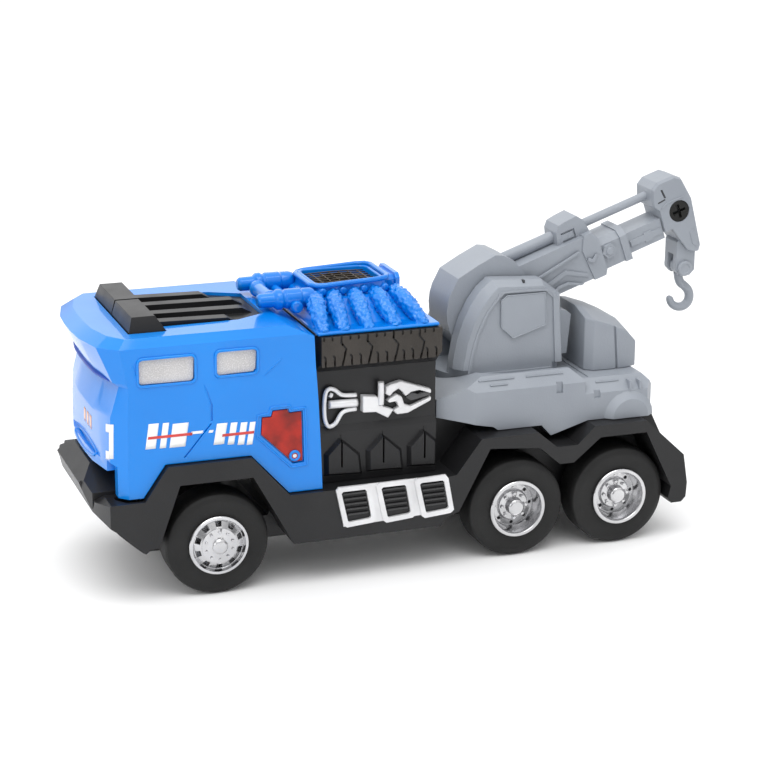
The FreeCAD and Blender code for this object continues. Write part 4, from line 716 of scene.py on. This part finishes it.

# dark grey plates on the head's slots: painted shade of the slots
dark = [([(-49.6, 9.9), (-49.1, 9.9), (-49.5, 7.6), (-50.0, 7.6)], 4.05, 4.36, 0.0), ([(-47.6, 7.2), (-49.6, 7.4), (-49.7, 7.05), (-47.6, 6.85)], 4.05, 4.36, 0.0)]
plates("head_slot_shade", dark, "groove_grey", "sliding_boom", f=BP, bevel=0.05, seg=1)
plates("head_relief", [([(-53.4, -3.0), (-54.6, -2.2), (-55.2, -5.4), (-54.4, -7.6), (-53.3, -6.4)], 4.05, 4.5, 0.1),
                       ([(-48.0, 5.6), (-50.0, 6.5), (-54.4, 6.3), (-54.6, 5.9), (-50.0, 6.0), (-48.2, 5.1)], 4.05, 4.5, 0.0)], "crane_grey", "sliding_boom",
       f=BP, bevel=0.12)

# cheek: arc band with its groove, edge of the panel; deck: raised ridges along its bright edges, and ribs
ARC = [(-16.9, 42.4), (-17.4, 46.0), (-18.4, 50.4), (-20.0, 54.8), (-22.2, 58.6), (-24.6, 61.3), (-27.2, 62.6), (-37.8, 62.1)]
ARC2 = [(-19.4, 42.6), (-20.0, 46.8), (-21.4, 51.8), (-23.6, 56.6), (-26.6, 60.5), (-28.0, 61.7), (-38.9, 61.5), (-41.0, 59.6)]


def ribbon(pts, w):
    """A narrow band that follows a line, as a closed outline."""
    up1, up2 = [], []
    for i, (x, z) in enumerate(pts):
        x0, z0 = pts[max(i - 1, 0)]
        x1, z1 = pts[min(i + 1, len(pts) - 1)]
        L = math.hypot(x1 - x0, z1 - z0)
        nx_, nz_ = -(z1 - z0) / L, (x1 - x0) / L
        up1.append((x + nx_ * w / 2, z + nz_ * w / 2))
        up2.append((x - nx_ * w / 2, z - nz_ * w / 2))
    return up1 + list(reversed(up2))


def cheek_strips(pts, w, y0, y1):
    fine_ = smooth_path(pts, 4)
    return [(ribbon(fine_[i:i + 2], w), y0, y1, 0.0) for i in range(len(fine_) - 1)]


plates("cheek_band", [(ribbon(smooth_path(ARC2, 4), 0.55), 11.6, 12.32, 0.0)], "crane_grey", "turret", bevel=0.12)
PANEL = [(-27.4, 59.7), (-28.8, 60.8), (-38.5, 60.8), (-38.9, 53.0), (-30.6, 50.4), (-27.5, 53.2)]
tube("cheek_panel_edge", [([(x, 12.2, z) for x, z in dense(PANEL, True, 0.8)], 0.16)], "crane_grey", "turret", closed=True, n=2, ring=8)
# a dark grey plate in the cheek's top groove: painted groove shade
plates("cheek_groove_shade", [([(-33.2, 63.9), (-33.7, 63.9), (-33.4, 61.9), (-32.9, 61.9)], 9.6, 11.2, 0.0)], "groove_grey", "turret", bevel=0.05, seg=1)

marks = []
for x0, x1, z, y in ((-19.5, -28.5, 42.5, 17.75), (-31.5, -41.0, 42.5, 17.75), (-49.5, -55.5, 39.4, 17.85), (-22.0, -26.5, 41.5, 18.8)):
    marks.append(([(x0, z - 0.16), (x1, z - 0.16), (x1, z + 0.2), (x0, z + 0.2)], y - 0.5, y + 0.45, 0.0))
plates("deck_ridges", marks, "crane_grey", "truck", bevel=0.1, seg=2)
plates("deck_ribs", [([(-57.4, 39.6), (-58.1, 39.6), (-58.1, 37.2), (-57.4, 37.2)], 18.0, 20.3, 0.05), ([(-60.0, 39.5), (-60.7, 39.5), (-60.7, 37.2), (-60.0, 37.2)], 18.0, 20.3, 0.05)],
       "crane_grey", "truck", bevel=0.15, seg=2)

# fine bars across the intake, over the fan
bars_in = [([(0.9, y, EB + 7.55), (8.0, y, EB + 7.75), (15.4, y, EB + 7.55)], 0.16) for y in (-5.4, -3.6, -1.8, 0.0, 1.8, 3.6, 5.4)]
bars_in += [([(x, -6.4, EB + 7.5), (x, 0.0, EB + 7.62), (x, 6.4, EB + 7.5)], 0.16) for x in (2.4, 4.7, 7.0, 9.3, 11.6, 13.9)]
tube("intake_mesh", bars_in, "mesh_brown", "truck", sides=(1,), n=3, ring=8)

# ---------------------------------------------------------------- hook as one bent wire with its eye
HPT = [(-79.6, 61.4), (-79.6, 59.8), (-79.9, 58.2), (-80.5, 56.9), (-81.6, 56.0), (-82.6, 54.9), (-83.05, 53.5), (-82.8, 52.1), (-81.9, 51.1), (-80.6, 50.75),
       (-79.3, 51.05), (-78.2, 51.9), (-77.6, 53.2), (-77.5, 53.8)]
HR_ = [0.9, 1.1, 1.1, 1.1, 1.1, 1.12, 1.14, 1.14, 1.12, 1.08, 1.02, 0.95, 0.85, 0.35]
bm = bmesh.new()
fine = smooth_path([tuple(P(x, 0, z)) for x, z in HPT[1:]], 7)
sweep_into(bm, fine, [q[0] for q in smooth_path([(v,) for v in HR_[1:]], 7)], 20)
# eye: a thick ring about the pin
ro, ri, hw = 1.85, 0.66, 1.05
ringn = 36
prof = [(ri, -hw), (ro - 0.3, -hw), (ro, -hw + 0.3), (ro, hw - 0.3), (ro - 0.3, hw), (ri, hw)]
rows = []
for k in range(ringn):
    t = 2 * math.pi * k / ringn
    rows.append([bm.verts.new(P(-79.6 + r_ * math.cos(t), y, 61.4 + r_ * math.sin(t))) for r_, y in prof])
for k in range(ringn):
    for j in range(len(prof)):
        j2 = (j + 1) % len(prof)
        bm.faces.new((rows[k][j], rows[k][j2], rows[(k + 1) % ringn][j2], rows[(k + 1) % ringn][j]))
finish_piece("hook_wire", bm, "crane_grey", "hook", replaces=("hook",))
bm = bmesh.new()
for s in BOTH:
    lathe(bm, [(s * 3.0, 1.9), (s * 3.75, 1.9), (s * 4.0, 1.6), (s * 4.0, 1.2), (s * 3.8, 1.1), (s * 3.78, 0.1)], (-79.6, 61.4), "Y", ring=32)
finish_piece("yoke_boss", bm, "crane_grey", "sliding_boom", 0.1, 2)
